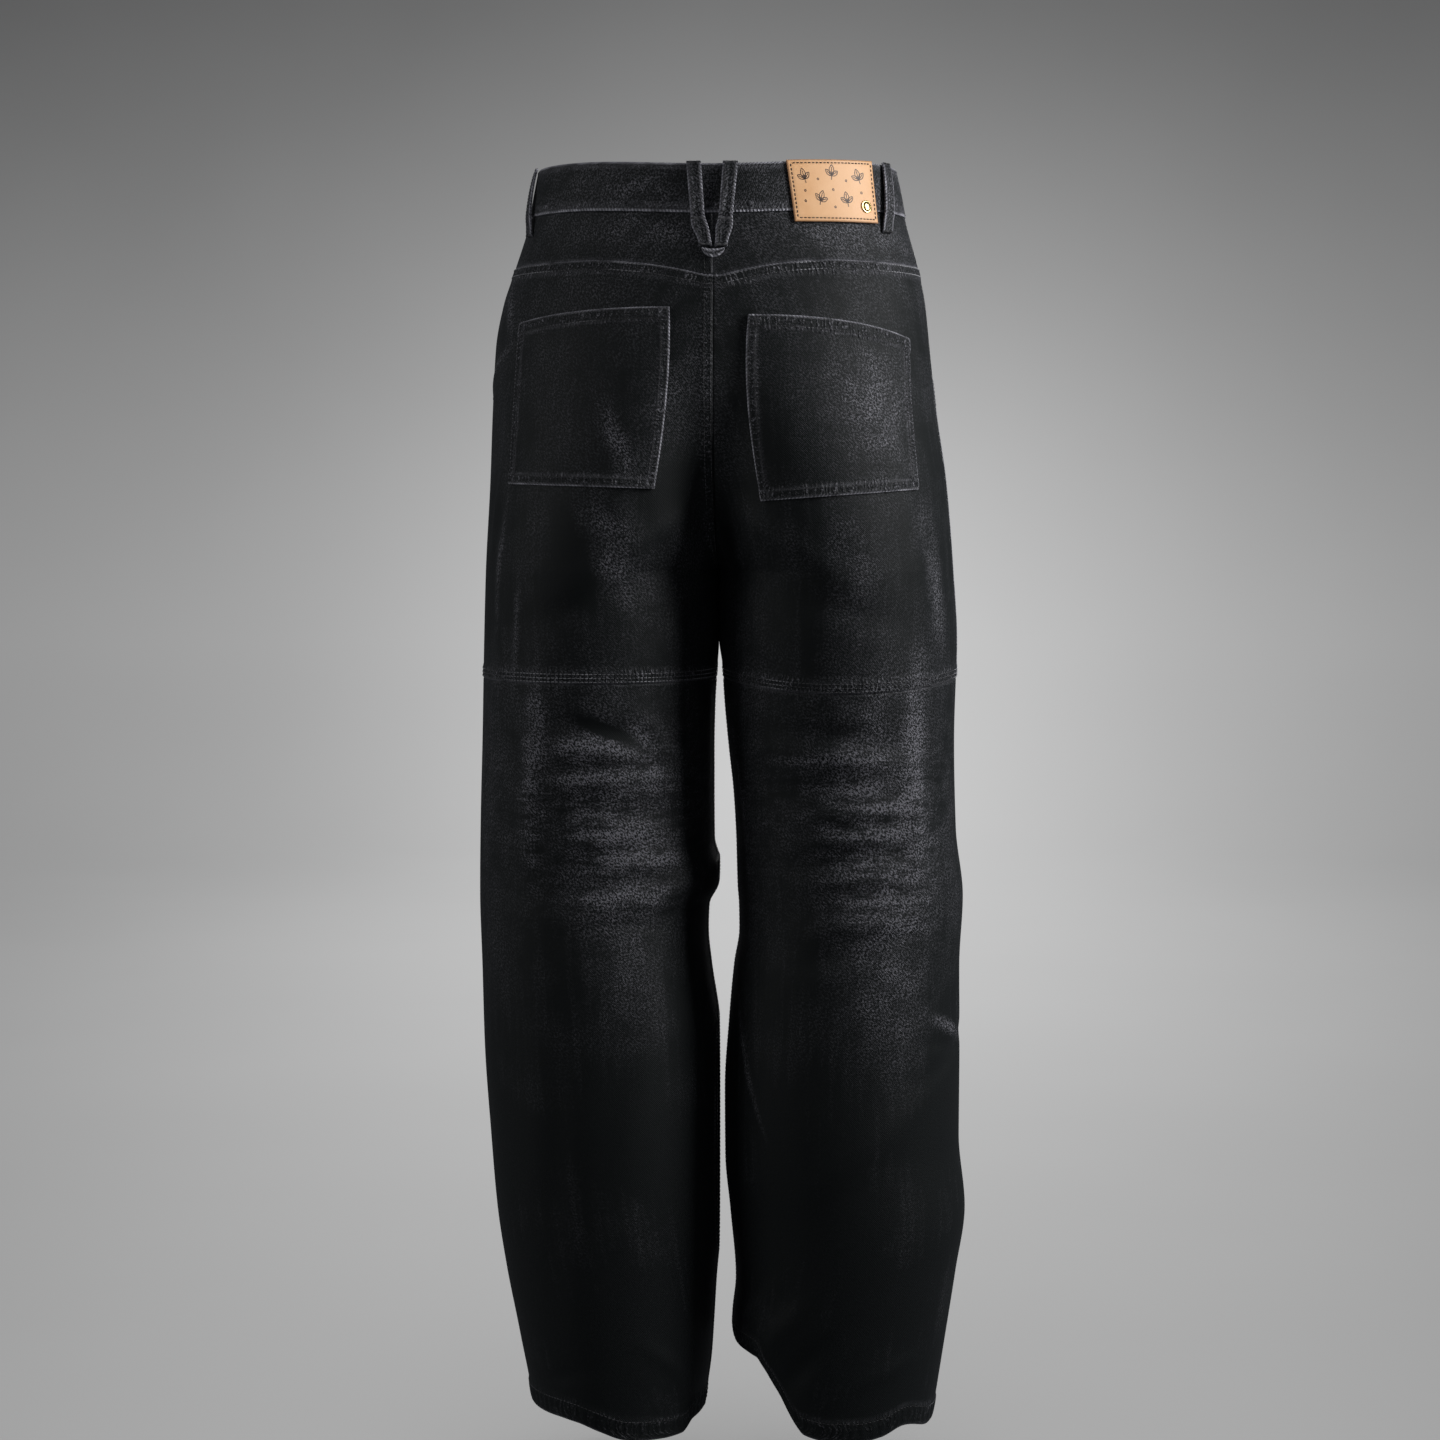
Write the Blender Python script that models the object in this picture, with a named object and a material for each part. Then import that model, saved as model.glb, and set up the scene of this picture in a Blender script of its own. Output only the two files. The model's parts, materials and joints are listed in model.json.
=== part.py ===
"""Wide-leg denim jeans, held open in the shape of a wearer's hips and legs, with nobody inside.

Metres, +Z up. The front faces -Y, so the wearer's left is +X and the seat is at +Y. The origin is the
middle of the waistband ring, where a wearer's waist holds the garment up; the legs hang below it.

Every piece of cloth is a thin wall that follows one drape: two rings of points, one for each leg, that
run from the waist to the hems. Above the crotch the rings overlap, and each leg keeps only its own side.
A point on a ring is given by an angle from the side seam, positive round the back and negative round
the front, and by its height.
"""

import math

import bmesh
import bpy
import numpy as np

LEGS = {"left": 1, "right": -1}

# Cloth thicknesses and the gaps between pieces
DENIM = 0.0014
BAND_CLOTH = 0.0026
LOOP_CLOTH = 0.0018
LEATHER = 0.0018
SEAM_GAP = 0.0003
LAY_GAP = 0.0005

# Heights of the main lines
BAND_BOTTOM = -0.0055
BAND_HEIGHT = 0.0405
BACK_DIP = 0.0055
FRONT_DROP = 0.0180
YOKE_Z = -0.0482
YOKE_POINT = 0.0142
FORK_Z = -0.030
CROTCH_Z = -0.305
THIGH_SEAM_Z = -0.3990
THIGH_SEAM_DIP = {"left": 0.0, "right": 0.0080}
POCKET_END_Z = -0.146

# How the two legs part below the waist, and how softly the seat's valley is rounded
FORK_POWER = 1.6
VALLEY = 0.034

# Fly, waistband ends and front pockets
LAP = 0.0040
LAP_LIFT = 0.0022
FLY_END_Z = -0.190
UNDER_END = 0.036
BAND_PROUD = 0.0008
SCOOP_ANGLE = math.radians(53)
FACING_UNDER = 0.10
FACING_GAP = 0.0013

HEM_DEPTH = 0.018
HEM_PROUD = 0.0006


def table(columns, *rows):
    """A table with named columns, each an array with one value for each row."""
    return dict(zip(columns.split(), np.array(rows, float).T))


# Distance of the cloth from the middle of the body at the side, for each leg
OUTER = table(
    "z left right",
    (0.040, 0.1535, 0.1500),
    (0.030, 0.1550, 0.1520),
    (-0.010, 0.1632, 0.1605),
    (-0.050, 0.1760, 0.1715),
    (-0.080, 0.1860, 0.1775),
    (-0.115, 0.1925, 0.1812),
    (-0.170, 0.1955, 0.1872),
    (-0.230, 0.1978, 0.1960),
    (-0.305, 0.2020, 0.2025),
    (-0.370, 0.2042, 0.2062),
    (-0.450, 0.2062, 0.2045),
    (-0.530, 0.2086, 0.2065),
    (-0.590, 0.2094, 0.2130),
    (-0.650, 0.2078, 0.2103),
    (-0.720, 0.2062, 0.2110),
    (-0.800, 0.2011, 0.2108),
    (-0.865, 0.1960, 0.2165),
    (-0.920, 0.1880, 0.2090),
    (-0.980, 0.1765, 0.2000),
    (-1.045, 0.1655, 0.1900),
    (-1.075, 0.1640, 0.1850),
)

# The same at the inseam; a negative value has crossed the middle of the body
INNER = table(
    "z left right",
    (-0.305, 0.0002, 0.0002),
    (-0.366, 0.0003, 0.0004),
    (-0.390, 0.0017, 0.0035),
    (-0.420, 0.0036, 0.0055),
    (-0.460, 0.0045, 0.0092),
    (-0.500, 0.0045, 0.0135),
    (-0.540, 0.0042, 0.0158),
    (-0.566, -0.0024, 0.0165),
    (-0.582, 0.0010, 0.0170),
    (-0.598, 0.0088, 0.0182),
    (-0.620, 0.0096, 0.0185),
    (-0.650, 0.0068, 0.0140),
    (-0.700, -0.0004, 0.0095),
    (-0.760, -0.0038, 0.0058),
    (-0.820, -0.0040, 0.0062),
    (-0.870, -0.0028, 0.0108),
    (-0.930, 0.0024, 0.0156),
    (-0.965, 0.0045, 0.0124),
    (-1.000, 0.0068, 0.0180),
    (-1.045, 0.0125, 0.0300),
    (-1.075, 0.0140, 0.0340),
)

# Distance from the side seams to the furthest cloth behind and in front
DEPTH = table(
    "z back front",
    (0.040, 0.1035, 0.1035),
    (0.030, 0.1050, 0.1045),
    (-0.010, 0.1110, 0.1090),
    (-0.060, 0.1205, 0.1130),
    (-0.120, 0.1300, 0.1160),
    (-0.190, 0.1365, 0.1165),
    (-0.260, 0.1340, 0.1150),
    (-0.305, 0.1290, 0.1140),
    (-0.400, 0.1175, 0.1115),
    (-0.500, 0.1060, 0.1100),
    (-0.580, 0.1010, 0.1110),
    (-0.660, 0.1030, 0.1080),
    (-0.760, 0.1025, 0.1030),
    (-0.860, 0.0965, 0.0970),
    (-0.960, 0.0885, 0.0900),
    (-1.075, 0.0800, 0.0830),
)

# Height of each hem round its leg, by the angle from the side seam in degrees. The right one is hitched
# up at the inseam, where the photo shows it caught on the shoe.
HEM = table(
    "angle left right",
    (-180, -1.0450, -0.9850),
    (-140, -1.0430, -1.0000),
    (-90, -1.0400, -1.0300),
    (-45, -1.0395, -1.0470),
    (0, -1.0390, -1.0510),
    (20, -1.0385, -1.0515),
    (50, -1.0382, -1.0430),
    (66, -1.0400, -1.0500),
    (82, -1.0465, -1.0530),
    (98, -1.0535, -1.0530),
    (115, -1.0555, -1.0495),
    (121, -1.0558, -1.0405),
    (129, -1.0562, -1.0165),
    (141, -1.0560, -0.9870),
    (153, -1.0470, -0.9855),
    (180, -1.0450, -0.9850),
)

# Folds. Each is a soft ridge (depth above 0) or trough at an angle and height on one leg; lean is its
# slope from level in degrees, rising towards the inseam, and length and width are its half extents.
LEFT, RIGHT = LEGS["left"], LEGS["right"]
FOLDS = table(
    "leg angle z lean length width depth",
    # Behind the left knee
    (LEFT, 96, -0.438, -8, 0.050, 0.009, -0.0030),
    (LEFT, 94, -0.456, -6, 0.050, 0.010, 0.0030),
    (LEFT, 126, -0.446, -48, 0.028, 0.008, 0.0022),
    (LEFT, 100, -0.483, 2, 0.052, 0.010, 0.0024),
    (LEFT, 108, -0.507, -3, 0.050, 0.011, -0.0028),
    (LEFT, 98, -0.533, 14, 0.034, 0.009, 0.0028),
    (LEFT, 118, -0.551, 12, 0.036, 0.009, 0.0026),
    (LEFT, 104, -0.570, 8, 0.042, 0.009, -0.0022),
    (LEFT, 108, -0.590, 10, 0.044, 0.010, 0.0024),
    (LEFT, 60, -0.500, 86, 0.085, 0.012, 0.0022),
    (LEFT, 84, -0.560, 80, 0.060, 0.012, -0.0020),
    # Behind the right knee
    (RIGHT, 92, -0.442, 4, 0.050, 0.010, -0.0028),
    (RIGHT, 88, -0.462, 6, 0.052, 0.010, 0.0026),
    (RIGHT, 96, -0.486, -4, 0.046, 0.010, -0.0024),
    (RIGHT, 84, -0.508, -8, 0.048, 0.009, 0.0026),
    (RIGHT, 90, -0.531, -6, 0.046, 0.009, 0.0024),
    (RIGHT, 92, -0.548, -4, 0.046, 0.009, -0.0022),
    (RIGHT, 90, -0.566, -4, 0.046, 0.009, 0.0022),
    (RIGHT, 84, -0.600, -8, 0.048, 0.010, 0.0024),
    (RIGHT, 88, -0.628, -10, 0.042, 0.010, -0.0022),
    (RIGHT, 52, -0.530, 88, 0.120, 0.013, 0.0028),
    (RIGHT, 22, -0.722, -20, 0.040, 0.009, -0.0030),
    # Drape of the seat and the thighs behind
    (LEFT, 112, -0.275, 40, 0.060, 0.014, 0.0026),
    (LEFT, 92, -0.330, 20, 0.060, 0.015, -0.0022),
    (LEFT, 44, -0.300, 84, 0.110, 0.012, 0.0020),
    (RIGHT, 112, -0.275, 40, 0.060, 0.014, 0.0026),
    (RIGHT, 88, -0.335, 14, 0.060, 0.015, -0.0022),
    (RIGHT, 48, -0.290, 84, 0.110, 0.012, 0.0020),
    # Lower legs behind
    (LEFT, 118, -0.700, 74, 0.110, 0.016, 0.0024),
    (LEFT, 70, -0.800, 84, 0.130, 0.016, -0.0020),
    (RIGHT, 74, -0.790, -38, 0.060, 0.016, 0.0026),
    (RIGHT, 128, -0.965, -46, 0.045, 0.012, 0.0034),
    (RIGHT, 112, -0.990, -40, 0.040, 0.011, -0.0030),
    # In front: creases from the crotch and soft breaks above the knees, the same on both legs
    *(
        (leg, angle, z, lean, length, width, depth)
        for leg in (LEFT, RIGHT)
        for angle, z, lean, length, width, depth in (
            (-112, -0.225, -24, 0.052, 0.010, 0.0024),
            (-116, -0.262, -12, 0.052, 0.010, -0.0022),
            (-112, -0.300, 4, 0.055, 0.011, 0.0024),
            (-96, -0.470, 4, 0.055, 0.013, 0.0026),
            (-100, -0.530, -6, 0.055, 0.014, -0.0024),
            (-92, -0.590, 5, 0.055, 0.014, 0.0028),
            (-62, -0.720, 82, 0.120, 0.016, 0.0024),
            (-118, -0.830, 80, 0.110, 0.015, -0.0022),
            (-88, -0.985, 8, 0.060, 0.014, 0.0030),
        )
    ),
)
FOLD_RADIUS = 0.105


def smoothstep(low, high, value):
    share = np.clip((value - low) / (high - low), 0, 1)
    return share * share * (3 - 2 * share)


def smooth(rows, name, at, key="z"):
    """A column's value at a height or angle, on a curve through the rows that never overshoots them."""
    order = np.argsort(rows[key])
    x, y = rows[key][order], rows[name][order]
    step = np.diff(x)
    slope = np.diff(y) / step
    product = slope[:-1] * slope[1:]
    total = slope[:-1] + slope[1:]
    tangent = np.zeros(len(x))
    tangent[1:-1] = np.where(product > 0, 2 * product / np.where(product > 0, total, 1), 0)
    at = np.clip(at, x[0], x[-1])
    i = np.clip(np.searchsorted(x, at) - 1, 0, len(step) - 1)
    t = (at - x[i]) / step[i]
    rise = y[i + 1] - y[i]
    ease = t * t * (3 - 2 * t)
    start = tangent[i] * step[i] * t * (1 - t) ** 2
    end = tangent[i + 1] * step[i] * t * t * (1 - t)
    return y[i] + rise * ease + start - end


def crotch_share(z):
    """0 where the body is one ring, growing to 1 at the crotch, where it has become two."""
    return np.clip((FORK_Z - z) / (FORK_Z - CROTCH_Z), 0, 1) ** FORK_POWER


def ring(leg, z):
    """Centre and half width of a leg's ring, measured outwards from the middle of the body."""
    outer = smooth(OUTER, leg, z)
    share = crotch_share(z)
    inner = np.where(z > CROTCH_Z, outer * (share - 1) / (share + 1), smooth(INNER, leg, z))
    return (outer + inner) / 2, (outer - inner) / 2


def drape_point(leg, angle, z):
    """The cloth's outer surface before its folds."""
    angle, z = np.broadcast_arrays(np.asarray(angle, float), np.asarray(z, float))
    centre, half = ring(leg, z)
    depth = np.where(angle > 0, smooth(DEPTH, "back", z), smooth(DEPTH, "front", z))
    out = centre + half * np.cos(angle)
    share = np.where(z > CROTCH_Z, crotch_share(z), 0)
    parting = np.sqrt(1 - share * share) + 1e-6
    rounding = depth * share * parting / half * out * np.exp(-((out / (VALLEY * parting)) ** 2))
    y = depth * np.sin(angle) - np.sign(angle) * rounding
    return np.stack([LEGS[leg] * out, y, z], axis=-1)


def outward(leg, angle, z, step=1e-4):
    """Unit normal of the drape, pointing away from the wearer."""
    across = drape_point(leg, angle + step, z) - drape_point(leg, angle - step, z)
    up = drape_point(leg, angle, z + step) - drape_point(leg, angle, z - step)
    normal = np.cross(across, up) * LEGS[leg]
    return normal / np.linalg.norm(normal, axis=-1, keepdims=True)


def fold_height(leg, angle, z):
    """How far the folds move the cloth out, fading to nothing at the centre seams."""
    centre, half = ring(leg, z)
    out = centre + half * np.cos(angle)
    moved = np.zeros(np.shape(out))
    for i in np.flatnonzero(FOLDS["leg"] == LEGS[leg]):
        arc = (angle - np.radians(FOLDS["angle"][i])) * FOLD_RADIUS
        rise = z - FOLDS["z"][i]
        lean = np.radians(FOLDS["lean"][i])
        along = arc * np.cos(lean) + rise * np.sin(lean)
        across = rise * np.cos(lean) - arc * np.sin(lean)
        spread = (along / FOLDS["length"][i]) ** 2 + (across / FOLDS["width"][i]) ** 2
        moved = moved + FOLDS["depth"][i] * np.exp(-spread)
    return moved * smoothstep(0.004, 0.040, out)


def cloth_point(leg, angle, z, lift=0.0):
    """A point on the folded cloth's outer surface, moved out by lift."""
    angle, z = np.broadcast_arrays(np.asarray(angle, float), np.asarray(z, float))
    away = fold_height(leg, angle, z) + lift
    return drape_point(leg, angle, z) + outward(leg, angle, z) * away[..., None]


def edge_angle(leg, z, edge=SEAM_GAP / 2):
    """The angle where a ring reaches the centre seam, or the inseam below the crotch."""
    centre, half = ring(leg, z)
    seam = math.pi - SEAM_GAP / 2 / smooth(DEPTH, "back", z)
    return np.minimum(np.arccos(np.clip((edge - centre) / half, -1, 1)), seam)


def angle_at(leg, out, z):
    """The angle from the side seam of cloth that lies this far from the middle of the body."""
    centre, half = ring(leg, z)
    return np.arccos(np.clip((out - centre) / half, -1, 1))


def band_line(angle):
    """Height of the waistband's lower edge, which dips at the centre back and drops towards the front."""
    return BAND_BOTTOM - np.where(angle < 0, FRONT_DROP * np.sin(angle) ** 2, BACK_DIP * np.sin(angle) ** 6)


def yoke_line(angle):
    """Height of the yoke seam, level at the side and pointed at the centre back."""
    from_side = np.clip(1 - np.cos(angle) / 0.62, 0, 1)
    return YOKE_Z - YOKE_POINT * from_side**1.8


def thigh_line(leg, angle):
    """Height of the seam across the thigh, which dips a little on the right leg."""
    return THIGH_SEAM_Z - THIGH_SEAM_DIP[leg] * np.sin(angle) ** 2


def hem_line(leg, angle):
    return smooth(HEM, leg, np.degrees(angle), key="angle")


def scoop_angle(z):
    """How far the front pocket's mouth is from the side seam, as an angle."""
    share = np.clip((BAND_BOTTOM - z) / (BAND_BOTTOM - POCKET_END_Z), 0, 1)
    return SCOOP_ANGLE * (1 - share**2)


def finish(name, colour, roughness, metallic=0.0):
    """A material with a surface colour, roughness and metallic value."""
    material = bpy.data.materials.new(name)
    material.use_nodes = True
    shader = material.node_tree.nodes["Principled BSDF"]
    shader.inputs["Base Color"].default_value = (*colour, 1)
    shader.inputs["Roughness"].default_value = roughness
    shader.inputs["Metallic"].default_value = metallic
    material.diffuse_color = (*colour, 1)
    return material


def wall(name, outer, inner, material):
    """A closed wall between two grids of points, as one object."""
    rows, columns = outer.shape[:2]
    count = rows * columns
    index = np.arange(count).reshape(rows, columns)
    corners = [index[:-1, :-1], index[:-1, 1:], index[1:, 1:], index[1:, :-1]]
    front = np.stack(corners, axis=-1).reshape(-1, 4)
    rim = np.concatenate([index[0, :-1], index[:-1, -1], index[-1, :0:-1], index[:0:-1, 0]])
    after = np.roll(rim, -1)
    edge = np.stack([rim, after, after + count, rim + count], axis=-1)
    faces = np.concatenate([front, front[:, ::-1] + count, edge])
    points = np.concatenate([outer.reshape(-1, 3), inner.reshape(-1, 3)])
    return solid(name, points.tolist(), faces.tolist(), material)


def solid(name, points, faces, material):
    """An object from points and faces, with its faces turned outwards."""
    mesh = bpy.data.meshes.new(name)
    mesh.from_pydata(points, [], faces)
    shape = bmesh.new()
    shape.from_mesh(mesh)
    bmesh.ops.recalc_face_normals(shape, faces=shape.faces)
    shape.to_mesh(mesh)
    shape.free()
    mesh.shade_smooth()
    mesh.set_sharp_from_angle(angle=math.radians(50))
    mesh.materials.append(material)
    made = bpy.data.objects.new(name, mesh)
    bpy.context.scene.collection.objects.link(made)
    return made


def cloth_wall(name, leg, angles, heights, material, lift=0.0, thickness=DENIM):
    """A wall of cloth over a grid of angles and heights on one leg."""
    outer = cloth_point(leg, angles, heights, lift)
    inner = cloth_point(leg, angles, heights, lift - thickness)
    return wall(name, outer, inner, material)


def grid(leg, face, levels, columns, top, bottom, start=None, edge=None):
    """Angles and heights of a panel: face is 1 behind and -1 in front, levels are its inner rows.

    top and bottom give the height of its ends at an angle, start the angle where a row begins, and edge
    how far from the middle of the body the row ends.
    """
    share = np.linspace(0, 1, columns)[None, :]
    edge = edge or (lambda z: SEAM_GAP / 2)

    def spread(heights):
        first = start(heights) if start else SEAM_GAP / 2 / smooth(DEPTH, "back", heights)
        last = edge_angle(leg, heights, edge(heights))
        return face * (first + share * (last - first))

    heights = np.repeat(np.array([top(0.0), *levels, bottom(0.0)])[:, None], columns, axis=1)
    for _ in range(2):
        angles = spread(heights)
        heights[0], heights[-1] = top(angles[0]), bottom(angles[-1])
    return spread(heights), heights


# Back patch pockets: distance from the middle of the body and height of each corner
POCKETS = {
    "left": {
        "inner_top": (0.0355, -0.0890),
        "outer_top": (0.1630, -0.0985),
        "inner_low": (0.0483, -0.2370),
        "outer_low": (0.1715, -0.2330),
    },
    "right": {
        "inner_top": (0.0289, -0.0955),
        "outer_top": (0.1607, -0.1120),
        "inner_low": (0.0404, -0.2470),
        "outer_low": (0.1683, -0.2377),
    },
}
POCKET_HEM = 0.0007

# Rows and columns of the seat panel: the patch pocket is a block of them, moved out
POCKET_ROWS = (0, 0.10, 0.115, 0.25, 0.38, 0.51, 0.64, 0.77, 0.89, 1.0)
ROWS_ABOVE = (0.5,)
ROWS_BELOW = (-0.256, -0.268, -0.279, -0.289, -0.297, -0.3025, CROTCH_Z, -0.315, -0.333, -0.354, -0.377)
COLUMNS_OUTSIDE, COLUMNS_POCKET, COLUMNS_INSIDE = 3, 10, 4


def back_grid(leg):
    """Angles and heights of the seat panel's points, with rows and columns along the pocket's edges."""
    (in_top, z_in), (out_top, z_out), (in_low, low_in), (out_low, low_out) = POCKETS[leg].values()
    sections = ((0, 1, COLUMNS_OUTSIDE), (1, 2, COLUMNS_POCKET), (2, 3, COLUMNS_INSIDE))
    column = np.concatenate([np.linspace(low, high, n + 1)[:-1] for low, high, n in sections] + [[3.0]])
    across = np.clip(2 - column, 0, 1)
    top = z_in + (z_out - z_in) * across**2
    low = low_in + (low_out - low_in) * across

    def angles_at(z):
        down = np.clip((z_in - z) / (z_in - low_in), 0, 1)
        edges = [
            np.zeros_like(z) + SEAM_GAP / 2 / smooth(DEPTH, "back", z),
            angle_at(leg, out_top + (out_low - out_top) * down, z),
            angle_at(leg, in_top + (in_low - in_top) * down, z),
            edge_angle(leg, z),
        ]
        which = np.clip(column.astype(int), 0, 2)
        part = column - which
        edges = np.stack(edges)
        columns = np.arange(len(column))
        start, end = edges[which, ..., columns], edges[which + 1, ..., columns]
        return start + (end - start) * part

    heights = [np.zeros_like(column)]
    heights += [np.zeros_like(column) for _ in ROWS_ABOVE]
    heights += [top + (low - top) * down for down in POCKET_ROWS]
    heights += [np.full_like(column, z) for z in ROWS_BELOW]
    heights.append(np.zeros_like(column))
    heights[0] = heights[0] + YOKE_Z
    heights[-1] = heights[-1] + THIGH_SEAM_Z
    for _ in range(2):
        heights[0] = yoke_line(angles_at(heights[0])) - SEAM_GAP / 2
        heights[-1] = thigh_line(leg, angles_at(heights[-1])) + SEAM_GAP / 2
    for i, share in enumerate(ROWS_ABOVE):
        heights[1 + i] = heights[0] + (top - heights[0]) * share
    angles = np.array([angles_at(row) for row in heights])
    return angles, np.array(heights)


def back_upper(leg, denim):
    """Seat and thigh panel, from the yoke seam to the seam across the thigh."""
    return cloth_wall(f"back_upper_{leg}", leg, *back_grid(leg), denim)


def back_pocket(leg, denim):
    """A patch pocket on the seat: a block of the seat panel's points moved out, thicker along its mouth."""
    angles, heights = back_grid(leg)
    first = 1 + len(ROWS_ABOVE)
    block = np.s_[first : first + len(POCKET_ROWS), COLUMNS_OUTSIDE : COLUMNS_OUTSIDE + COLUMNS_POCKET + 1]
    angles, heights = angles[block], heights[block]
    mouth = np.zeros_like(angles)
    mouth[:2] = POCKET_HEM
    outer = cloth_point(leg, angles, heights, LAY_GAP + DENIM + mouth)
    return wall(f"back_pocket_{leg}", outer, cloth_point(leg, angles, heights, LAY_GAP), denim)


def yoke(leg, denim):
    """Back yoke, between the waistband and the seat panel."""
    angles, heights = grid(
        leg,
        1,
        (-0.023, -0.036),
        13,
        lambda angle: band_line(angle) - SEAM_GAP,
        lambda angle: yoke_line(angle) + SEAM_GAP / 2,
    )
    return cloth_wall(f"yoke_{leg}", leg, angles, heights, denim)


def front_upper(leg, denim):
    """Front panel down to the seam across the thigh. The left one laps over the right along the fly."""
    levels = (
        -0.045, -0.072, -0.095, -0.112, -0.126, -0.137, POCKET_END_Z, -0.166, -0.190, -0.214, -0.238,
        -0.260, -0.278, -0.292, -0.301, CROTCH_Z, -0.325, -0.360,
    )
    lap = LAP if leg == "left" else 0.0
    angles, heights = grid(
        leg,
        -1,
        levels,
        14,
        lambda angle: band_line(angle) - SEAM_GAP,
        lambda angle: thigh_line(leg, angle) + SEAM_GAP / 2,
        start=lambda z: np.maximum(scoop_angle(z), SEAM_GAP / 2 / 0.11),
        edge=lambda z: SEAM_GAP / 2 - lap * smoothstep(FLY_END_Z, FLY_END_Z + 0.022, z),
    )
    lift = 0.0
    if leg == "left":
        out = drape_point(leg, angles, heights)[..., 0]
        upward = smoothstep(FLY_END_Z - 0.024, FLY_END_Z, heights)
        lift = LAP_LIFT * upward * (1 - smoothstep(0.004, 0.030, out))
    return cloth_wall(f"front_upper_{leg}", leg, angles, heights, denim, lift)


def pocket_facing(leg, denim):
    """The piece that shows in the front pocket's mouth, between the front panel and the side seam."""
    levels = (-0.045, -0.072, -0.095, -0.112, -0.126, -0.137, POCKET_END_Z)
    share = np.linspace(0, 1, 9)[None, :]
    top, bottom = BAND_BOTTOM - SEAM_GAP, -0.162
    heights = np.repeat(np.array([top, *levels, bottom])[:, None], 9, axis=1)
    first = SEAM_GAP / 2 / 0.11
    mouth = scoop_angle(heights)
    angles = -(first + share * (mouth + FACING_UNDER - first))
    heights[0] = band_line(angles[0]) - SEAM_GAP
    open_share = 1 - smoothstep(-0.095, -0.060, -0.155 - heights)
    from_side = 1 - smoothstep(0, 1, -angles / (0.5 * mouth + 0.02))
    lift = -(DENIM + FACING_GAP) * (1 - open_share * from_side)
    return cloth_wall(f"pocket_facing_{leg}", leg, angles, heights, denim, lift)


def leg_lower(leg, face, denim):
    """Lower leg panel with its folded hem, from the seam across the thigh down."""
    if face > 0:
        levels = [-0.416, -0.431, *np.arange(-0.445, -0.607, -0.0125), -0.625, -0.650, -0.680]
        levels += [-0.718, -0.758, -0.800, -0.842, -0.882]
    else:
        levels = [-0.425, -0.450, -0.475, -0.500, -0.525, -0.550, -0.570, -0.590, -0.612, -0.640]
        levels += [-0.675, -0.715, -0.758, -0.800, -0.842, -0.882]
    fall = (0.28, 0.52, 0.72, 0.88, 1.0)
    angles, heights = grid(
        leg,
        face,
        (*levels, *([levels[-1]] * (len(fall) + 1))),
        13,
        lambda angle: thigh_line(leg, angle) - SEAM_GAP / 2,
        lambda angle: hem_line(leg, angle),
    )
    hem_fold = heights[-1] + HEM_DEPTH
    first_fall = len(levels) + 1
    for i, share in enumerate(fall):
        heights[first_fall + i] = levels[-1] + share * (hem_fold + 0.0015 - levels[-1])
    heights[-2] = hem_fold
    columns = np.linspace(0, 1, 13)[None, :]
    first = SEAM_GAP / 2 / smooth(DEPTH, "back", heights)
    angles = face * (first + columns * (edge_angle(leg, heights) - first))
    proud = np.zeros_like(heights)
    proud[-2:] = HEM_PROUD
    side = "back" if face > 0 else "front"
    outer = cloth_point(leg, angles, heights, proud)
    inner = cloth_point(leg, angles, heights, -DENIM - proud)
    return wall(f"{side}_lower_{leg}", outer, inner, denim)


def girth_angle(girth):
    """The angle from the nearer side seam of a place on the girth."""
    turn = np.mod(girth, 2 * math.pi)
    return np.where(turn < math.pi, turn - math.pi / 2, 1.5 * math.pi - turn)


def girth_point(girth, z, lift):
    """A point round the waist: girth 0 is the centre front, and it grows by way of the wearer's left."""
    turn = np.mod(girth, 2 * math.pi)
    left = cloth_point("left", turn - math.pi / 2, z, lift)
    right = cloth_point("right", 1.5 * math.pi - turn, z, lift)
    return np.where((turn < math.pi)[..., None], left, right)


def girth_of(out, half=0.158):
    """Girth, from the centre front or back, of a place this far from the middle of the body."""
    return math.asin(out / half)


def waistband(denim):
    """One strip round the waist. Its left end laps over its right end at the centre front."""
    over, under = -girth_of(LAP), 2 * math.pi + girth_of(UNDER_END)
    girth = np.concatenate([[over], np.linspace(0.02, 2 * math.pi - 0.30, 45)])
    girth = np.concatenate([girth, 2 * math.pi + np.array([-0.22, -0.14, -0.06, 0.04, 0.13]), [under]])
    low = band_line(girth_angle(girth))
    heights = np.stack([low, low + BAND_HEIGHT / 2, low + BAND_HEIGHT])
    girth = np.repeat(girth[None, :], 3, axis=0)
    tuck = smoothstep(2 * math.pi - 0.24, 2 * math.pi - 0.06, girth)
    lift = BAND_PROUD + 0.0002 - (BAND_CLOTH + 0.0006) * tuck
    outer = girth_point(girth, heights, lift)
    inner = girth_point(girth, heights, lift - BAND_CLOTH)
    return wall("waistband", outer, inner, denim)


# Belt loops: the leg's side, 1 behind or -1 in front, how far the top and the bottom are from the middle
# of the body, how wide each of them is, and the height of the bottom
LOOPS = {
    "loop_back_left": ("left", 1, 0.0164, 0.0105, 0.0120, 0.0105, -0.0390),
    "loop_back_right": ("right", 1, 0.0136, 0.0080, 0.0125, 0.0105, -0.0395),
    "loop_side_left": ("left", 1, 0.1530, 0.1588, 0.0120, 0.0120, -0.0235),
    "loop_side_right": ("right", 1, 0.1400, 0.1425, 0.0120, 0.0120, -0.0235),
    "loop_front_left": ("left", -1, 0.0800, 0.0840, 0.0120, 0.0120, -0.0370),
    "loop_front_right": ("right", -1, 0.0800, 0.0840, 0.0120, 0.0120, -0.0370),
}
LOOP_STAND = 0.0027
LOOP_OVER_TOP = 0.0010


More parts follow.
